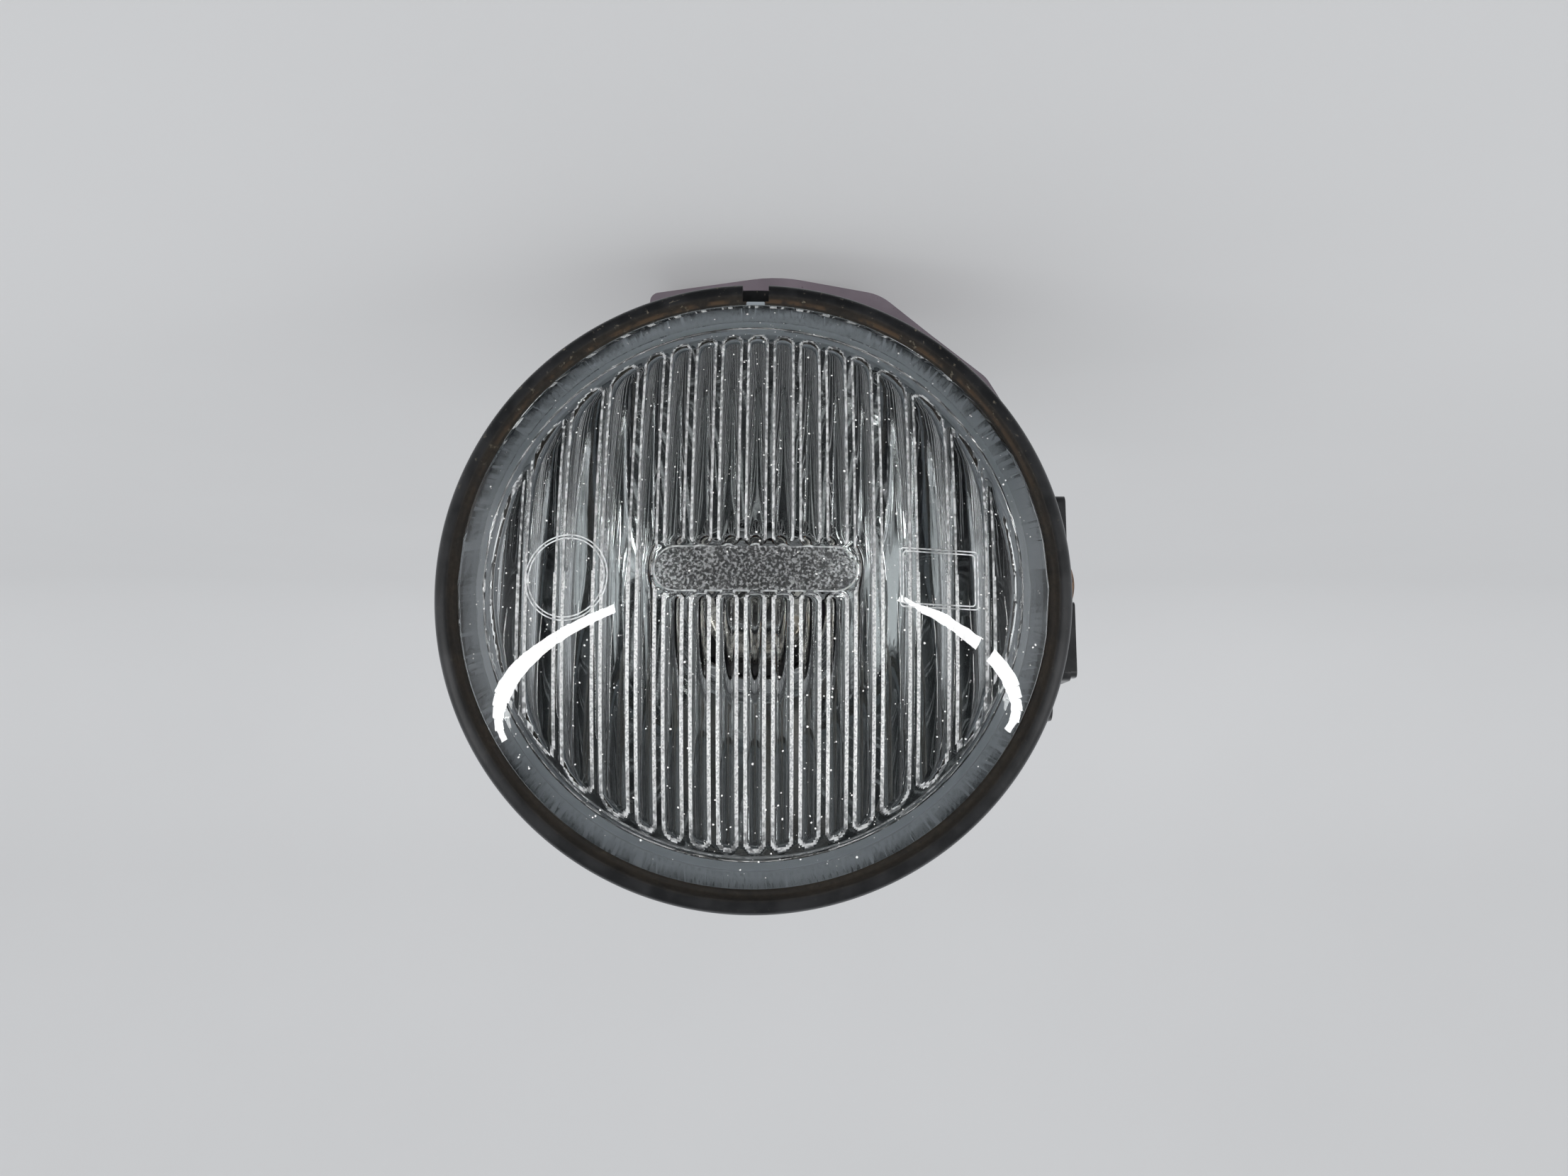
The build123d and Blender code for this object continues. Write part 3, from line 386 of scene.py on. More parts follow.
def stippled():
    """Glass pressed with a fine stipple, which hides what is behind it; its dark and pale specks are
    painted shade and painted glints.
    """
    s = clear_glass("stippled_glass", 0.2)
    s.set(Transmission_Weight=0.6)
    # painted shade in the stipple's pits and painted glints on its points
    shaded_pit = (0.09, 0.092, 0.095)
    point = (0.85, 0.86, 0.87)
    s.paint(s.blend(s.span(s.noise(2500.0, 2.0), 0.44, 0.66), shaded_pit, point))
    s.bump(s.noise(1700.0, 2.0), 0.4 * MM, 1.0)
    return s


def painted_glint_line():
    """A moulded edge on the glass, painted pale so that it shows as a pale line: a painted highlight, for
    the overhead light that it reflects.
    """
    s = Surface("painted_glint_line", (0.86, 0.88, 0.89), 0.35)
    s.set(Transmission_Weight=0.25, IOR=1.5)
    dim_glint = (0.50, 0.51, 0.52)
    dusty = (0.95, 0.96, 0.97)
    # painted highlight: the line's colour runs between a greyer and a brighter glint
    s.paint(s.blend(s.span(s.noise(1500.0, 3.0), 0.35, 0.6), dim_glint, dusty))
    s.bump(s.noise(3000.0, 2.0), 0.03 * MM, 0.5)
    return s


def paint_flank_light():
    """The steep sides of the ribs, which show as pale lines: the pale colour is painted light, for the
    light they gather from the sides.
    """
    s = Surface("painted_flank_light", (0.9, 0.91, 0.92), 0.2)
    s.set(Transmission_Weight=0.12, IOR=1.5)
    bright = s.blend(s.span(s.noise(3200.0, 2.0), 0.40, 0.56), (0.55, 0.56, 0.57), (1.0, 1.0, 1.0))
    dull = s.blend(s.span(s.noise(1200.0, 3.0), 0.40, 0.62), (0.10, 0.105, 0.11), (0.80, 0.81, 0.82))
    # painted light: brightest in the lens's upper half and away from its edge, and a little patchy
    upper = s.span(s.axis("Z"), -8 * MM, 6 * MM, 0.45, 1.0)
    patches = s.span(s.noise(110.0, 2.0), 0.3, 0.6, 0.6, 1.0)
    middle = s.span(s.radius(), 37 * MM, 29 * MM, 0.1, 1.0)
    pale = s.blend(s.times(upper, patches, middle), dull, bright)
    # a faint glow stands for the light that reaches a line through the glass, from the sides
    s.set(Base_Color=pale, Emission_Color=pale, Emission_Strength=0.2)
    s.bump(s.noise(2600.0, 2.0), 0.08 * MM, 0.8)
    return s


def dusty_black():
    """The bezel ring: charcoal, brown dust in its groove, specks of dirt, and a paler outer front edge that
    is a painted highlight.
    """
    s = Surface("ring_black", (0.032, 0.033, 0.035), 0.5)
    s.set(Specular_IOR_Level=0.3)
    r = s.radius()
    cloud = s.noise(260.0, 4.0)
    charcoal = s.blend(s.span(cloud, 0.35, 0.7), (0.010, 0.0105, 0.0115), (0.020, 0.0205, 0.022))
    dust = s.blend(s.noise(1500.0, 3.0), (0.008, 0.0065, 0.005), (0.045, 0.036, 0.026))
    inside = s.span(r, RIDGE_R + 0.5 * MM, RIDGE_R - 0.3 * MM)
    groove = s.times(inside, s.span(cloud, 0.2, 0.75, 0.4, 0.9))
    below = s.span(s.axis("Z"), -5 * MM, -40 * MM, 0.08, 1.0)
    specks = s.times(s.span(s.noise(900.0, 5.0, 0.65), 0.60, 0.72), below)
    dirty = s.blend(specks, s.blend(groove, charcoal, dust), (0.16, 0.14, 0.105))
    line_start = s.span(r, GROOVE_R - 0.25 * MM, GROOVE_R - 0.1 * MM)
    line_end = s.span(r, GROOVE_R + 0.4 * MM, GROOVE_R + 0.15 * MM)
    rusty = s.times(line_start, line_end, below, s.span(s.noise(420.0), 0.4, 0.6))
    stained = s.blend(rusty, dirty, (0.062, 0.040, 0.024))
    # painted highlight: a paler band along the ring's outer front edge
    outer = s.span(r, RING_R - 0.45 * MM, RING_R - 0.05 * MM)
    front = s.span(s.axis("Y"), SHOULDER_Y + 1.5 * MM, SHOULDER_Y + 0.4 * MM)
    s.paint(s.blend(s.times(outer, front, 0.4), stained, (0.10, 0.105, 0.11)))
    s.rough(s.span(s.math("MAXIMUM", groove, specks), 0.0, 1.0, 0.42, 0.85))
    s.bump(s.noise(2600.0, 4.0), 0.03 * MM, 0.5)
    s.bump(specks, 0.06 * MM, 0.8)
    return s


def grey_seal():
    """Blue-grey rubber, paler towards the ring with painted light that comes in through the glass's edge,
    with faint clouds.
    """
    s = Surface("grey_seal", (0.13, 0.155, 0.17), 0.6)
    # painted light: the seal is paler towards its outer edge, where light comes in through the glass's edge
    tone = s.blend(s.span(s.radius(), SEAL_INNER_R, LENS_R), (0.150, 0.168, 0.185), (0.245, 0.273, 0.298))
    s.paint(s.blend(s.span(s.noise(150.0), 0.4, 0.8, 0.0, 0.15), tone, (0.14, 0.157, 0.172)))
    s.bump(s.noise(3000.0), 0.02 * MM, 0.4)
    return s


def mirror():
    """Vacuum metallising: bright, with the faint waviness and dull specks of an old one."""
    s = Surface("mirror", (0.62, 0.63, 0.64), 0.03, 1.0)
    s.rough(s.span(s.noise(1800.0, 4.0), 0.55, 0.8, 0.025, 0.14))
    s.bump(s.noise(160.0, 2.0), 0.03 * MM, 0.25)
    return s


def moulded(name, colour, mottle, roughness, grain=2400.0, pits=False):
    """Moulded plastic: a fine grain, slightly uneven colour and sheen."""
    s = Surface(name, colour, roughness)
    darker = tuple(c * mottle for c in colour)
    tone = s.blend(s.span(s.noise(140.0, 4.0), 0.3, 0.7), darker, colour)
    if pits:
        # painted shade: the pits are painted darker, for the shade in their hollows
        shaded_pit = s.span(s.noise(700.0, 2.0), 0.72, 0.76)
        tone = s.blend(shaded_pit, tone, tuple(c * 0.3 for c in colour))
        s.bump(s.math("SUBTRACT", 1.0, shaded_pit), 0.1 * MM, 0.6)
    s.paint(tone)
    s.rough(s.span(s.noise(500.0, 3.0), 0.3, 0.7, roughness - 0.07, roughness + 0.08))
    s.bump(s.noise(grain, 3.0), 0.02 * MM, 0.45)
    return s


def black_steel():
    """Black paint on pressed steel, dusty, with chips down to rust."""
    s = Surface("black_steel", (0.03, 0.031, 0.033), 0.45)
    tone = s.blend(s.span(s.noise(180.0, 4.0), 0.3, 0.7), (0.022, 0.023, 0.025), (0.05, 0.051, 0.053))
    dust = s.span(s.noise(1100.0, 5.0, 0.7), 0.58, 0.75, 0.0, 0.5)
    dusty = s.blend(dust, tone, (0.12, 0.11, 0.095))
    chip = s.span(s.noise(330.0, 6.0, 0.6), 0.67, 0.70)
    s.paint(s.blend(chip, dusty, (0.14, 0.062, 0.025)))
    s.rough(s.span(s.math("MAXIMUM", chip, dust), 0.0, 1.0, 0.38, 0.85))
    s.bump(s.noise(1600.0, 3.0), 0.02 * MM, 0.4)
    s.bump(s.math("SUBTRACT", 1.0, chip), 0.06 * MM, 0.7)
    return s


def rust():
    """Rust in two sizes of grain, dark brown to orange."""
    s = Surface("rusty_steel", (0.20, 0.10, 0.045), 0.85)
    coarse = s.noise(520.0, 6.0, 0.65)
    tone = s.blend(s.span(coarse, 0.35, 0.65), (0.055, 0.035, 0.025), (0.26, 0.13, 0.055))
    s.paint(s.blend(s.span(s.noise(2300.0, 4.0), 0.6, 0.75), tone, (0.42, 0.27, 0.13)))
    s.bump(coarse, 0.12 * MM, 0.7)
    s.bump(s.noise(3500.0, 3.0), 0.04 * MM, 0.6)
    return s


def bare_metal(name, colour, roughness, stain):
    """Plated or bright metal: an uneven sheen with stains."""
    s = Surface(name, colour, roughness, 1.0)
    s.paint(s.blend(s.span(s.noise(480.0, 5.0), 0.5, 0.72), colour, stain))
    s.rough(s.span(s.noise(900.0, 4.0), 0.3, 0.7, roughness - 0.08, roughness + 0.15))
    s.bump(s.noise(2600.0, 2.0), 0.012 * MM, 0.35)
    return s


def rubber(name, colour, roughness=0.65):
    """Rubber with a pale bloom in clouds."""
    s = Surface(name, colour, roughness)
    bloom = tuple(min(1.0, c * 1.7 + 0.01) for c in colour)
    s.paint(s.blend(s.span(s.noise(210.0, 5.0), 0.4, 0.75), colour, bloom))
    s.rough(s.span(s.noise(700.0), 0.3, 0.7, roughness - 0.08, roughness + 0.12))
    s.bump(s.noise(3200.0, 2.0), 0.02 * MM, 0.5)
    return s


def nylon():
    """Milky nylon, yellowed in places."""
    clean = (0.66, 0.63, 0.53)
    s = Surface("nylon", clean, 0.42)
    s.set(Subsurface_Weight=0.25, Subsurface_Scale=0.8 * MM)
    s.paint(s.blend(s.span(s.noise(420.0, 4.0), 0.5, 0.75), clean, (0.42, 0.37, 0.27)))
    s.bump(s.noise(1500.0, 2.0), 0.015 * MM, 0.4)
    return s


def felt():
    s = Surface("felt", (0.45, 0.44, 0.40), 0.95)
    s.set(Sheen_Weight=0.4)
    fibres = s.noise(5200.0, 5.0, 0.7)
    s.paint(s.blend(fibres, (0.30, 0.29, 0.26), (0.62, 0.60, 0.55)))
    s.bump(fibres, 0.15 * MM, 0.9)
    return s


ring_black = dusty_black()
seal_grey = grey_seal()
mirror_metal = mirror()
glass = clear_glass("lens_glass")
stippled_glass = stippled()
painted_flank_light = paint_flank_light()
glint_line_paint = painted_glint_line()
quartz = clear_glass("capsule_glass")
mauve = moulded("housing_plastic", (0.205, 0.170, 0.198), 0.82, 0.42, pits=True)
base_black = moulded("base_plastic", (0.030, 0.030, 0.032), 0.75, 0.5, 3200.0)
steel_black = black_steel()
rusty = rust()
zinc = bare_metal("zinc_screw", (0.62, 0.58, 0.46), 0.36, (0.34, 0.25, 0.14))
spring = bare_metal("spring_steel", (0.20, 0.20, 0.22), 0.4, (0.13, 0.09, 0.06))
nickel = bare_metal("nickel_collar", (0.70, 0.68, 0.64), 0.24, (0.50, 0.44, 0.36))
tin = bare_metal("tin_blade", (0.70, 0.70, 0.69), 0.3, (0.5, 0.47, 0.42))
tungsten = bare_metal("tungsten", (0.30, 0.29, 0.28), 0.45, (0.2, 0.18, 0.16))
rubber_black = rubber("black_rubber", (0.018, 0.018, 0.019))
silicone = rubber("seal_orange", (0.50, 0.15, 0.05), 0.5)
nylon_white = nylon()
felt_grey = felt()
dust_pale = Surface("dust", (0.82, 0.81, 0.79), 0.9)

# ---- lens: a glass dome with grooves pressed in its back ----
RISE = 0.75 * MM  # how far the ribs stand out
ZONE_R = 38.3 * MM  # the ribs end here
ZONE_STEP = 0.35 * MM  # width of the slope down from them
GROOVE_END_R = 37.0 * MM
RIB_PITCH = 3.72 * MM
NARROW_RIBS = 10
WIDE_RIBS = [21.7 * MM, 27.2 * MM, 32.7 * MM]
RIB_TOP = 0.35 * MM  # half of a rib's flat top
PATTERN_X = -0.5 * MM  # the pattern stands a little off the axis
PAD_X = -0.5 * MM
PAD_Z = -1.2 * MM
PAD_LENGTH = 27.7 * MM
PAD_HEIGHT = 6.1 * MM
GRAIN_FROM = -0.1 * MM  # the pad's grain starts just inside its outline
GRAIN_DEPTH = 0.14 * MM
LINE_W = 0.5 * MM  # width of the pale line along each side of a rib, in the lens's upper half
THIN_LINE_W = 0.34 * MM  # and in its lower half
PAD_CLEAR = 0.7 * MM  # from the lines' ends to the pad


def grooves():
    """(centre, half width, radius) of each groove between two ribs."""
    tops = [(i - (NARROW_RIBS - 1) / 2) * RIB_PITCH for i in range(NARROW_RIBS)]
    for x in WIDE_RIBS + [ZONE_R + RIB_TOP]:
        tops += [x, -x]
    tops = sorted(x + PATTERN_X for x in tops)
    found = []
    for left, right in zip(tops, tops[1:]):
        half = (right - left) / 2 - RIB_TOP
        found.append(((left + right) / 2, half, (half**2 + RISE**2) / (2 * RISE)))
    return found


GROOVES = grooves()


def dome_y(x, z, inward=0.0):
    """Where the outside of the glass is along Y, or a dome that is smaller by a distance."""
    return DOME_CENTRE_Y - sqrt((DOME_R - inward) ** 2 - (x * x + z * z))


def pad_distance(x, z):
    """How far a point is outside the blank pad's outline; negative inside."""
    straight = PAD_LENGTH / 2 - PAD_HEIGHT / 2
    dx = max(abs(x - PAD_X) - straight, 0.0)
    return hypot(dx, z - PAD_Z) - PAD_HEIGHT / 2


def in_groove(x, z):
    """(distance from the middle of the nearest groove or of its round end, half width, radius)."""
    centre, half, radius = min(GROOVES, key=lambda g: abs(x - g[0]))
    end = sqrt(max(GROOVE_END_R**2 - x**2, 0.0)) - half
    past = max(abs(z) - end, 0.0)
    gap = pad_distance(x, z)
    if gap < half:
        past = max(past, half - max(gap, 0.0))
    return hypot(x - centre, past), half, radius


def thickness(x, z):
    """What the pressed pattern adds to the dome at a point."""
    plateau = RISE * min(1.0, max(0.0, (ZONE_R - hypot(x, z)) / ZONE_STEP))
    away, half, radius = in_groove(x, z)
    if away >= half or plateau <= 0:
        return plateau
    depth = sqrt(radius**2 - away**2) - (radius - RISE)
    return max(plateau - depth, 0.0)


def on_line(x, z):
    """Whether a point is on the pale line along a groove's edge. The lines stop short of the pad."""
    away, half, _ = in_groove(x, z)
    width = LINE_W if z > PAD_Z else THIN_LINE_W
    return half - width < away < half and pad_distance(x, z) > PAD_CLEAR


NARROW_STEPS = 12  # columns across a narrow groove
WIDE_STEPS = 18
BORDER_R = 38.9 * MM  # one more column between the ribs and the rim
END_ROWS = 16  # rows close together at a groove's ends, as shares of the zone's half height
END_STEP = 0.0035
END_GROWTH = 0.00022
SPARSE_ROWS = [0.85, 0.75, 0.65, 0.55, 0.45, 0.35, 0.27, 0.2]
PAD_ROWS = 40
PAD_BORDER = 2 * MM  # the pad's rows reach past it by this
BORDER_ROWS = 3


def columns():
    """Places across the lens: close together on the grooves' curves, and at the pale lines' edges."""
    xs = [side * x for x in (RIM_INNER_R, BORDER_R, ZONE_R) for side in (1, -1)]
    for centre, half, radius in GROOVES:
        steps = NARROW_STEPS if 2 * half < RIB_PITCH else WIDE_STEPS
        widest = acos(1 - RISE / radius)
        for k in range(steps + 1):
            xs.append(centre + radius * sin(widest * (2 * k / steps - 1)))
        for width in (LINE_W, THIN_LINE_W):
            xs += [centre - half + width, centre + half - width]
    return sorted(x for x in xs if abs(x) <= RIM_INNER_R)


def rows(x):
    """Places along a column from its lower to its upper end."""
    zone = sqrt(max(ZONE_R**2 - x**2, 0.0))
    rim = sqrt(max(RIM_INNER_R**2 - x**2, 0.0))
    upper = [1 - END_STEP * k - END_GROWTH * k * k for k in range(END_ROWS)] + SPARSE_ROWS
    lowest = (PAD_Z - PAD_HEIGHT / 2 - PAD_BORDER) / ZONE_R
    highest = (PAD_Z + PAD_HEIGHT / 2 + PAD_BORDER) / ZONE_R
    middle = [lowest + (highest - lowest) * k / PAD_ROWS for k in range(PAD_ROWS + 1)]
    inner = sorted([-t for t in upper] + middle + upper)
    border = [zone + (rim - zone) * k / BORDER_ROWS for k in range(1, BORDER_ROWS + 1)]
    return [-z for z in reversed(border)] + [t * zone for t in inner] + border


def pressed_back():
    """Points and faces of the glass's back, column by column."""
    random.seed(7)
    xs = columns()
    verts = []
    for x in xs:
        for z in rows(x):
            added = thickness(x, z)
            if pad_distance(x, z) < GRAIN_FROM:
                added -= GRAIN_DEPTH * random.random()
            verts.append((x, dome_y(x, z, GLASS_T) + added, z))
    count = len(verts) // len(xs)
    faces = []
    for i in range(len(xs) - 1):
        for j in range(count - 1):
            a = i * count + j
            faces.append((a, a + 1, a + count + 1, a + count))
    return verts, faces


DOME_STEPS = 31


def close_glass(bm):
    """Adds the plain rim and the dome in front to the pressed back."""
    border = {v for e in bm.edges if e.is_boundary for v in e.verts}
    border = sorted(border, key=lambda v: atan2(v.co.z, v.co.x))
    angles = [atan2(v.co.z, v.co.x) for v in border]
    outline = [(RIM_INNER_R, SEAT_Y), (LENS_R - RIM_CHAMFER, SEAT_Y)]
    outline += [(LENS_R, SEAT_Y - RIM_CHAMFER), (LENS_R, LENS_EDGE_Y)]
    for k in range(1, DOME_STEPS):
        radius = LENS_R * (1 - k / DOME_STEPS)
        outline.append((radius, dome_y(radius, 0)))
    rings = [border]
    for radius, y in outline:
        rings.append([bm.verts.new((radius * cos(a), y, radius * sin(a))) for a in angles])
    after = [(k + 1) % len(angles) for k in range(len(angles))]
    for first, second in zip(rings, rings[1:]):
        for k, m in enumerate(after):
            bm.faces.new((first[k], first[m], second[m], second[k]))
    pole = bm.verts.new((0, LENS_FRONT_Y, 0))
    for k, m in enumerate(after):
        bm.faces.new((rings[-1][k], rings[-1][m], pole))
    bmesh.ops.recalc_face_normals(bm, faces=bm.faces)


CLEAR, STIPPLED, FLANK = range(3)  # the lens's materials, in their order on the mesh


def kind_of_glass(x, y, z):
    """Which of the lens's materials a face has, by its middle."""
    in_front = y < dome_y(x, z) + GLASS_T / 2
    if in_front or hypot(x, z) > ZONE_R - ZONE_STEP:
        return CLEAR
    if pad_distance(x, z) < GRAIN_FROM:
        return STIPPLED
    return FLANK if on_line(x, z) else CLEAR


def build_lens():
    mesh = plain_mesh("lens_glass", *pressed_back())
    bm = bmesh.new()
    bm.from_mesh(mesh)
    bmesh.ops.remove_doubles(bm, verts=bm.verts, dist=0.004 * MM)
    bmesh.ops.dissolve_degenerate(bm, edges=bm.edges, dist=0.001 * MM)
    close_glass(bm)
    bm.to_mesh(mesh)
    bm.free()
    shade_smooth(mesh, 34)
    lens = new_piece("lens_glass", mesh, "lamp", ["lens"])
    give(glass, lens)
    mesh.materials.append(stippled_glass.material)
    mesh.materials.append(painted_flank_light.material)
    for face in mesh.polygons:
        face.material_index = kind_of_glass(*face.center)


build_lens()

# ---- fine lines on the glass: the pad's edge, a blank circle and a blank frame ----
MARK_X = 25.7 * MM
MARK_R = 5.75 * MM
FRAME_X = -25.9 * MM
FRAME_HALF = (5.35 * MM, 3.85 * MM)
FRAME_CORNER_R = 0.5 * MM
STROKE_HALF = 0.22 * MM  # a moulded stroke shows as the two lines along its edges
STROKE_R = 0.1 * MM
PAD_EDGE_R = 0.12 * MM
LINE_SIDES = 8


def on_dome(x, z, lift=0.0):
    """A point on the outside of the glass, lifted along its normal."""
    radius = DOME_R + lift
    p = Vector((x, -sqrt(DOME_R**2 - x * x - z * z), z)).normalized() * radius
    return p + Vector((0, DOME_CENTRE_Y, 0))


def on_back(x, z):
    """A point on the flat tops of the ribs, inside the glass."""
    return Vector((x, dome_y(x, z, GLASS_T) + RISE, z))


def thin_line(name, path, place=on_dome, radius=STROKE_R):
    """A thin moulded line on the glass, along a closed path of (x, z) points."""
    verts = []
    for i, (x, z) in enumerate(path):
        here = place(x, z)
        ahead = place(*path[(i + 1) % len(path)]) - place(*path[i - 1])
        out = (here - Vector((0, DOME_CENTRE_Y, 0))).normalized()
        across = ahead.cross(out).normalized()
        for k in range(LINE_SIDES):
            a = 2 * pi * k / LINE_SIDES
            verts.append(here + across * cos(a) * radius + out * sin(a) * radius)
    mesh = mesh_of(name, verts, ring_faces(len(path), LINE_SIDES), 60.0)
    # the line's pale colour is a painted highlight
    give(glint_line_paint, new_piece(name, mesh, "lamp"))


def circle_path(radius):
    return [(MARK_X + radius * cos(radians(a)), radius * sin(radians(a))) for a in range(0, 360, 5)]


def frame_path(grow):
    """The outline of a blank frame with small round corners."""
    w = FRAME_HALF[0] + grow - FRAME_CORNER_R
    h = FRAME_HALF[1] + grow - FRAME_CORNER_R
    path = []
    for sx, sz, start in ((1, 1, 0), (-1, 1, 90), (-1, -1, 180), (1, -1, 270)):
        for k in range(5):
            a = radians(start + 90 * k / 4)
            path.append((FRAME_X + sx * w + FRAME_CORNER_R * cos(a), sz * h + FRAME_CORNER_R * sin(a)))
    return path


def pad_path():
    """The outline of the blank pad: straight sides and round ends."""
    path = []
    for end, start in ((1, -90), (-1, 90)):
        for k in range(17):
            a = radians(start + 180 * k / 16)
            x = PAD_X + end * (PAD_LENGTH - PAD_HEIGHT) / 2 + PAD_HEIGHT / 2 * cos(a)
            path.append((x, PAD_Z + PAD_HEIGHT / 2 * sin(a)))
    return path


thin_line("pad_edge", pad_path(), on_back, PAD_EDGE_R)
for edge, grow in (("outer", STROKE_HALF), ("inner", -STROKE_HALF)):
    thin_line(f"mark_circle_{edge}", circle_path(MARK_R + grow))
    thin_line(f"mark_frame_{edge}", frame_path(grow))

# ---- dust ----
DUST_COUNT = 1100
DUST_R = 41.0 * MM  # how far from the axis it lies
DUST_SMALL = 0.06 * MM
DUST_LARGE = 0.18 * MM
DUST_LIFT = 0.008 * MM
DUST_CORNERS = 6


def build_dust():
    """Specks of dust on the outside of the glass."""
    random.seed(21)
    verts = []
    faces = []
    for _ in range(DUST_COUNT):
        r = DUST_R * sqrt(random.uniform(0.01, 1.0))
        a = random.uniform(0, 2 * pi)
        size = DUST_SMALL + (DUST_LARGE - DUST_SMALL) * random.random() ** 3
        start = len(verts)
        for k in range(DUST_CORNERS):
            b = 2 * pi * k / DUST_CORNERS
            stretch = size * random.uniform(0.6, 1.2)
            verts.append(on_dome(r * cos(a) + stretch * cos(b), r * sin(a) + stretch * sin(b), DUST_LIFT))
        faces.append(tuple(range(start, start + DUST_CORNERS)))
    give(dust_pale, new_piece("glass_dust", plain_mesh("glass_dust", verts, faces), "lamp"))


build_dust()

# ---- seal and bezel ring ----
KEY_FRONT_Y = -1.5 * MM
SLOT_OVERLAP = 0.1 * MM  # the key's slot reaches this far into the notch


def build_seal():
    """The seal under the glass's rim, with its key in the ring's notch."""
    corners = [(SEAL_INNER_R, SEAT_Y), (LENS_R, SEAT_Y), (LENS_R, SEAL_BACK_Y), (SEAL_INNER_R, SEAL_BACK_Y)]
    seal = lathe("seal_ring", rounded(corners, 0.3 * MM))
    seal = new_piece("seal_ring", seal, "lamp", ["lens_seal"])
    low = (-KEY_HALF, KEY_FRONT_Y, -GROOVE_R)
    high = (KEY_HALF, KEY_BACK_Y, -LENS_R - 0.02 * MM)
    key = new_piece("seal_key", box_mesh(low, high), "lamp")
    round_edges(key, 0.2 * MM, 3)
    give(seal_grey, seal, key)


def ring_profile():
    """Lip on the glass, groove, ridge, an elliptic face to the shoulder, and the collar behind."""
    points = [(LENS_R + 0.01 * MM, LIP_Y), (LENS_R + 0.35 * MM, GROOVE_Y - 0.02 * MM)]
    points += [(GROOVE_R - 0.1 * MM, GROOVE_Y), (GROOVE_R + 0.12 * MM, GROOVE_Y - 0.12 * MM)]
    points += [(RIDGE_R - 0.14 * MM, RIDGE_Y + 0.22 * MM), (RIDGE_R, RIDGE_Y)]
    half = (RING_R - RIDGE_R) / 2
    steps = 14
    for k in range(1, steps + 1):
        a = pi - pi * k / steps
        base = RIDGE_Y + (SHOULDER_Y - RIDGE_Y) * k / steps
        points.append((RIDGE_R + half + half * cos(a), max(base - FACE_CROWN * sin(a), RING_FRONT_Y)))
    points += [(RING_R, RING_BACK_Y - RING_CHAMFER), (RING_R - RING_CHAMFER, RING_BACK_Y)]
    points += [(RING_INNER_R, RING_BACK_Y), (RING_INNER_R, SEAL_BACK_Y)]
    points += [(LENS_R + 0.01 * MM, SEAL_BACK_Y)]
    return points


def build_bezel():
    """The ring, with a notch through its face and a deeper slot for the seal's key."""
    bezel = lathe("bezel", ring_profile(), 360)
    bezel = new_piece("bezel", bezel, "lamp", ["bezel_ring"])
    ahead = -8 * MM
    outside = -50 * MM
    cut(bezel, box_mesh((-NOTCH_HALF, ahead, outside), (NOTCH_HALF, NOTCH_FLOOR_Y, -GROOVE_R)))
    low = (-KEY_HALF, ahead, -GROOVE_R - SLOT_OVERLAP)
    cut(bezel, box_mesh(low, (KEY_HALF, KEY_BACK_Y, -LENS_R + 0.5 * MM)))
    shade_smooth(bezel.data, 40)
    give(ring_black, bezel)


build_seal()
build_bezel()


# ---- reflector ----
def mirror_y(radius):
    return MIRROR_POLE_Y - radius**2 / (4 * FOCAL)


def spread(first, last, steps):
    """Evenly spaced values from the first to the last."""
    return [first + (last - first) * k / steps for k in range(steps + 1)]


def reflector_profile():
    """The bowl inside, the seat round the bulb, the neck, the bowl outside and its flange."""
    points = [(r, mirror_y(r)) for r in spread(MIRROR_R, MIRROR_SEAT_R, 48)]
    seat_y = mirror_y(MIRROR_SEAT_R)
    chamfer = 0.3 * MM
    points += [(BULB_HOLE_R + chamfer, seat_y), (BULB_HOLE_R, seat_y + chamfer)]
    points += [(BULB_HOLE_R, NECK_BACK_Y), (NECK_R, NECK_BACK_Y)]
    flange_back_y = SEAL_BACK_Y + FLANGE_T
    widest = sqrt(4 * FOCAL * (MIRROR_POLE_Y + BOWL_T - flange_back_y))
    points += [(r, mirror_y(r) + BOWL_T) for r in spread(NECK_R, widest, 24)]
    points += [(RING_INNER_R, flange_back_y), (RING_INNER_R, SEAL_BACK_Y)]
    return points


bowl = new_piece("bowl", lathe("bowl", reflector_profile(), 288), "lamp", ["reflector"])
give(mirror_metal, bowl)

# ---- the other pieces keep their CAD shape, with rounded edges: surface, nodes, radius in mm ----
FINISHES = [
    (mauve, ["housing"], 0.35),
    (rubber_black, ["housing_gasket", "vent_elbow"], 0.2),
    (zinc, ["housing_screws", "ear_screws", "aim_screw"], 0.12),
    (felt_grey, ["vent_filter"], 0.2),
    (steel_black, ["lamp_ear", "mount_bracket"], 0.35),
    (rusty, ["pivot_rivet", "pivot_washer", "backing_washer"], 0.2),
    (nylon_white, ["friction_washer", "aim_grommet", "aim_nut"], 0.25),
    (spring, ["aim_clip"], 0.1),
    (nickel, ["bulb_collar"], 0.2),
    (base_black, ["bulb_base"], 0.3),
    (silicone, ["bulb_oring"], 0.0),
    (tin, ["terminals"], 0.12),
    (tungsten, ["filament"], 0.0),
    (quartz, ["bulb_glass"], 0.0),
]
for surface, nodes, bevel in FINISHES:
    for node in nodes:
        give(surface, refined(node, bevel * MM))

# ---- stage: a pale floor that curves up into a backdrop ----
FLOOR_Z = cad_box[0].z
SWEEP_R = 0.12
SWEEP_STEPS = 16
BACK_Y = 0.42
STAGE_W = 8.0
STAGE_FRONT_Y = -4.0
STAGE_H = 3.0


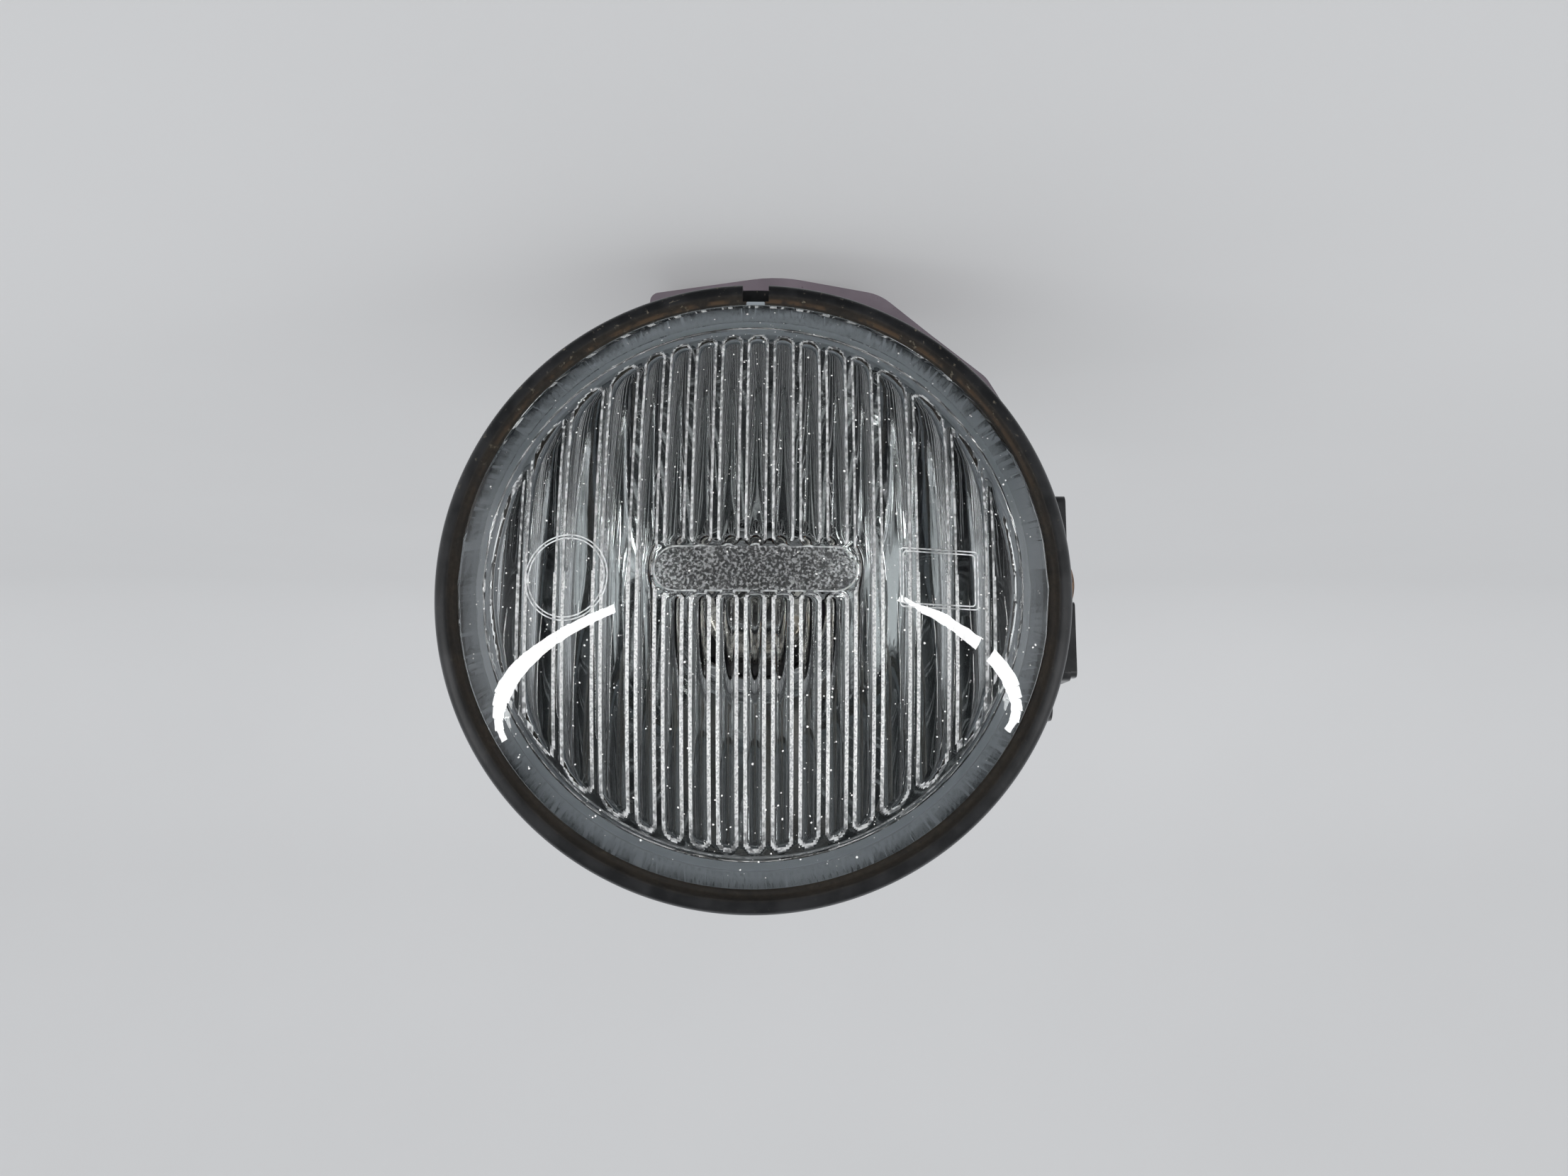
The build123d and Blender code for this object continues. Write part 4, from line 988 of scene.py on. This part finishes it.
def build_stage():
    path = [(STAGE_FRONT_Y, FLOOR_Z), (BACK_Y - SWEEP_R, FLOOR_Z)]
    for k in range(1, SWEEP_STEPS + 1):
        a = pi / 2 * k / SWEEP_STEPS
        path.append((BACK_Y - SWEEP_R + SWEEP_R * sin(a), FLOOR_Z + SWEEP_R - SWEEP_R * cos(a)))
    path.append((BACK_Y, FLOOR_Z + STAGE_H))
    verts = [(x, y, z) for x in (-STAGE_W / 2, STAGE_W / 2) for y, z in path]
    n = len(path)
    mesh = plain_mesh("stage", verts, [(k, k + 1, n + k + 1, n + k) for k in range(n - 1)])
    shade_smooth(mesh)
    stage = add_object("stage", mesh)
    stage.visible_glossy = False
    stage.visible_transmission = False
    paper = Surface("stage_paper", (0.33, 0.335, 0.34), 0.7)
    paper.paint(paper.blend(paper.noise(9.0, 5.0), (0.285, 0.29, 0.295), (0.315, 0.32, 0.325)))
    paper.set(Emission_Color=(0.98, 0.985, 1.0), Emission_Strength=0.27, Specular_IOR_Level=0.1)
    give(paper, stage)


build_stage()

# ---- light: an even pale room; what shines in gloss is dark in front, bright to the sides ----
ROOM = (0.90, 0.91, 0.93)
SEEN_ROOM = (0.60, 0.605, 0.615)
DARK_ROOM = (0.006, 0.0065, 0.0075)
BRIGHT_ROOM = (0.95, 0.97, 1.0)
SIDE_FROM = 0.76  # share of a direction that points across: the bright sides start here
SIDE_TO = 0.90
DARK_FROM = 0.02  # share that points up: the sides darken from here, for light out of the bowl
DARK_TO = 0.16
HIGH_FROM = 0.55  # and from here, for light that the lens alone turns back
HIGH_TO = 0.75
BEHIND_FROM = 0.1  # share that points back: the bright wall behind starts here
BEHIND_TO = 0.4
BELOW_FROM = 0.10  # a pale patch on the -Z side, which shows in the bowl's upper half
BELOW_TO = -0.08
BELOW_SIDE_FROM = 0.45  # how far the patch reaches to each side
BELOW_SIDE_TO = 0.25
BELOW_LEVEL = 0.22
BOWL_CROSSINGS = 2.5  # light out of the bowl has crossed the glass's surfaces more often than this


def build_world():
    world = bpy.data.worlds.new("room")
    bpy.context.scene.world = world
    world.use_nodes = True
    world.node_tree.nodes.clear()
    t = Tree(world.node_tree)
    split = t.node("ShaderNodeSeparateXYZ")
    t.link(t.node("ShaderNodeTexCoord").outputs["Generated"], split.inputs[0])
    path = t.node("ShaderNodeLightPath")
    up = split.outputs["Z"]
    sideways = t.math("ABSOLUTE", split.outputs["X"])
    deep = t.math("GREATER_THAN", path.outputs["Transmission Depth"], BOWL_CROSSINGS)
    shallow = t.math("SUBTRACT", 1.0, deep)
    not_high = t.times(t.span(up, HIGH_TO, HIGH_FROM), shallow)
    level = t.math("MAXIMUM", t.span(up, DARK_TO, DARK_FROM), not_high)
    across = t.times(t.span(sideways, SIDE_FROM, SIDE_TO), level)
    below = t.times(t.span(up, BELOW_FROM, BELOW_TO), deep, BELOW_LEVEL)
    patch = t.times(below, t.span(sideways, BELOW_SIDE_FROM, BELOW_SIDE_TO))
    solid = t.math("SUBTRACT", 1.0, path.outputs["Is Transmission Ray"])
    behind = t.times(t.span(split.outputs["Y"], BEHIND_FROM, BEHIND_TO), solid)
    bright = t.math("MAXIMUM", t.math("MAXIMUM", across, patch), behind)
    shine = t.blend(bright, DARK_ROOM, BRIGHT_ROOM)
    lit = t.blend(path.outputs["Is Diffuse Ray"], shine, ROOM)
    room = t.node("ShaderNodeBackground")
    t.feed(room, Color=t.blend(path.outputs["Is Camera Ray"], lit, SEEN_ROOM))
    t.link(room.outputs[0], t.node("ShaderNodeOutputWorld").inputs[0])


build_world()


def area_light(name, place, target, size, power, along=(1, 0, 0), in_gloss=False):
    """A soft rectangle of light at a place, facing a target; its long side follows along."""
    data = bpy.data.lights.new(name, "AREA")
    data.shape = "RECTANGLE"
    data.size, data.size_y = size
    data.energy = power
    lamp = add_object(name, data)
    back = (Vector(place) - Vector(target)).normalized()
    side = Vector(along)
    side = (side - back * side.dot(back)).normalized()
    up = back.cross(side)
    lamp.matrix_world = Matrix.Translation(place) @ Matrix((side, up, back)).transposed().to_4x4()
    lamp.visible_camera = False
    lamp.visible_glossy = in_gloss
    lamp.visible_transmission = in_gloss


STREAK_GLOW = 75.0  # watts for each square metre of a tube
STREAK_STEPS = 12
STREAK_WIDEST = 0.6 * STREAK_STEPS  # the tube where a streak is widest
STREAK_OVERLAP = 1.06  # each tube is longer than its step by this


def streak(name, route, widths, gap=None):
    """A chain of short glowing tubes along a curve, seen as a bright streak in the curved glass."""
    inner, widest, end = widths
    points = interpolate_bezier(*[Vector(p) for p in route], STREAK_STEPS + 1)
    for k, (near, far) in enumerate(zip(points, points[1:])):
        if k == gap:
            continue
        if k < STREAK_WIDEST:
            width = inner + (widest - inner) * k / STREAK_WIDEST
        else:
            width = widest + (end - widest) * (k - STREAK_WIDEST) / (STREAK_STEPS - STREAK_WIDEST)
        length = (far - near).length * STREAK_OVERLAP
        aim = Vector((near.x * 0.08, -0.005, 0.01))
        power = STREAK_GLOW * length * width
        area_light(f"{name}_{k}", (near + far) / 2, aim, (length, width), power, far - near, True)


# name, place, target, size and watts of each soft light
SOFT_LIGHTS = [
    ("key", (0.25, -0.75, 0.75), (0, 0, 0), (0.9, 0.6), 2.4),
    ("fill", (-0.8, -0.35, 0.4), (0, 0, 0), (0.7, 0.7), 1.2),
    ("rear", (0.3, 0.36, 0.8), (0, 0.03, 0), (0.8, 0.5), 0.7),
]
for light in SOFT_LIGHTS:
    area_light(*light)

# each streak's curve, and its width at its inner end, where it is widest, and at its outer end
LEFT_ROUTE = [
    (0.282, -0.435, -0.021),
    (0.45, -0.32, 0.05),
    (0.50, -0.215, 0.13),
    (0.449, -0.222, 0.197),
]
RIGHT_ROUTE = [
    (-0.278, -0.436, -0.047),
    (-0.45, -0.32, 0.04),
    (-0.50, -0.215, 0.11),
    (-0.447, -0.238, 0.181),
]
streak("streak_left", LEFT_ROUTE, (0.018, 0.038, 0.006))
streak("streak_right", RIGHT_ROUTE, (0.018, 0.034, 0.006), gap=4)

# ---- camera: in front and a little above, held upside down as the lamp is shown ----
CAMERA_PLACE = (-4.79 * MM, -177.7 * MM, 29.04 * MM)
CAMERA_YAW = -0.12  # degrees
CAMERA_PITCH = -9.31
CAMERA_ROLL = 0.24
FOCAL_MM = 28.48
SENSOR_MM = 36.0


def build_camera():
    data = bpy.data.cameras.new("camera")
    data.lens = FOCAL_MM
    data.sensor_width = SENSOR_MM
    data.sensor_fit = "HORIZONTAL"
    data.clip_start = 5 * MM
    camera = add_object("camera", data)
    turn = Matrix.Rotation(radians(CAMERA_YAW), 3, "Z") @ Matrix.Rotation(radians(CAMERA_PITCH), 3, "X")
    roll = radians(CAMERA_ROLL)
    right = Vector((-cos(roll), 0, -sin(roll)))
    up = Vector((sin(roll), 0, -cos(roll)))
    axes = Matrix((turn @ right, turn @ up, turn @ Vector((0, -1, 0)))).transposed()
    camera.matrix_world = Matrix.Translation(CAMERA_PLACE) @ axes.to_4x4()
    bpy.context.scene.camera = camera


build_camera()

scene = bpy.context.scene
scene.view_settings.view_transform = "Standard"
scene.cycles.max_bounces = 18
scene.cycles.transmission_bounces = 14
scene.cycles.glossy_bounces = 8
scene.cycles.transparent_max_bounces = 12
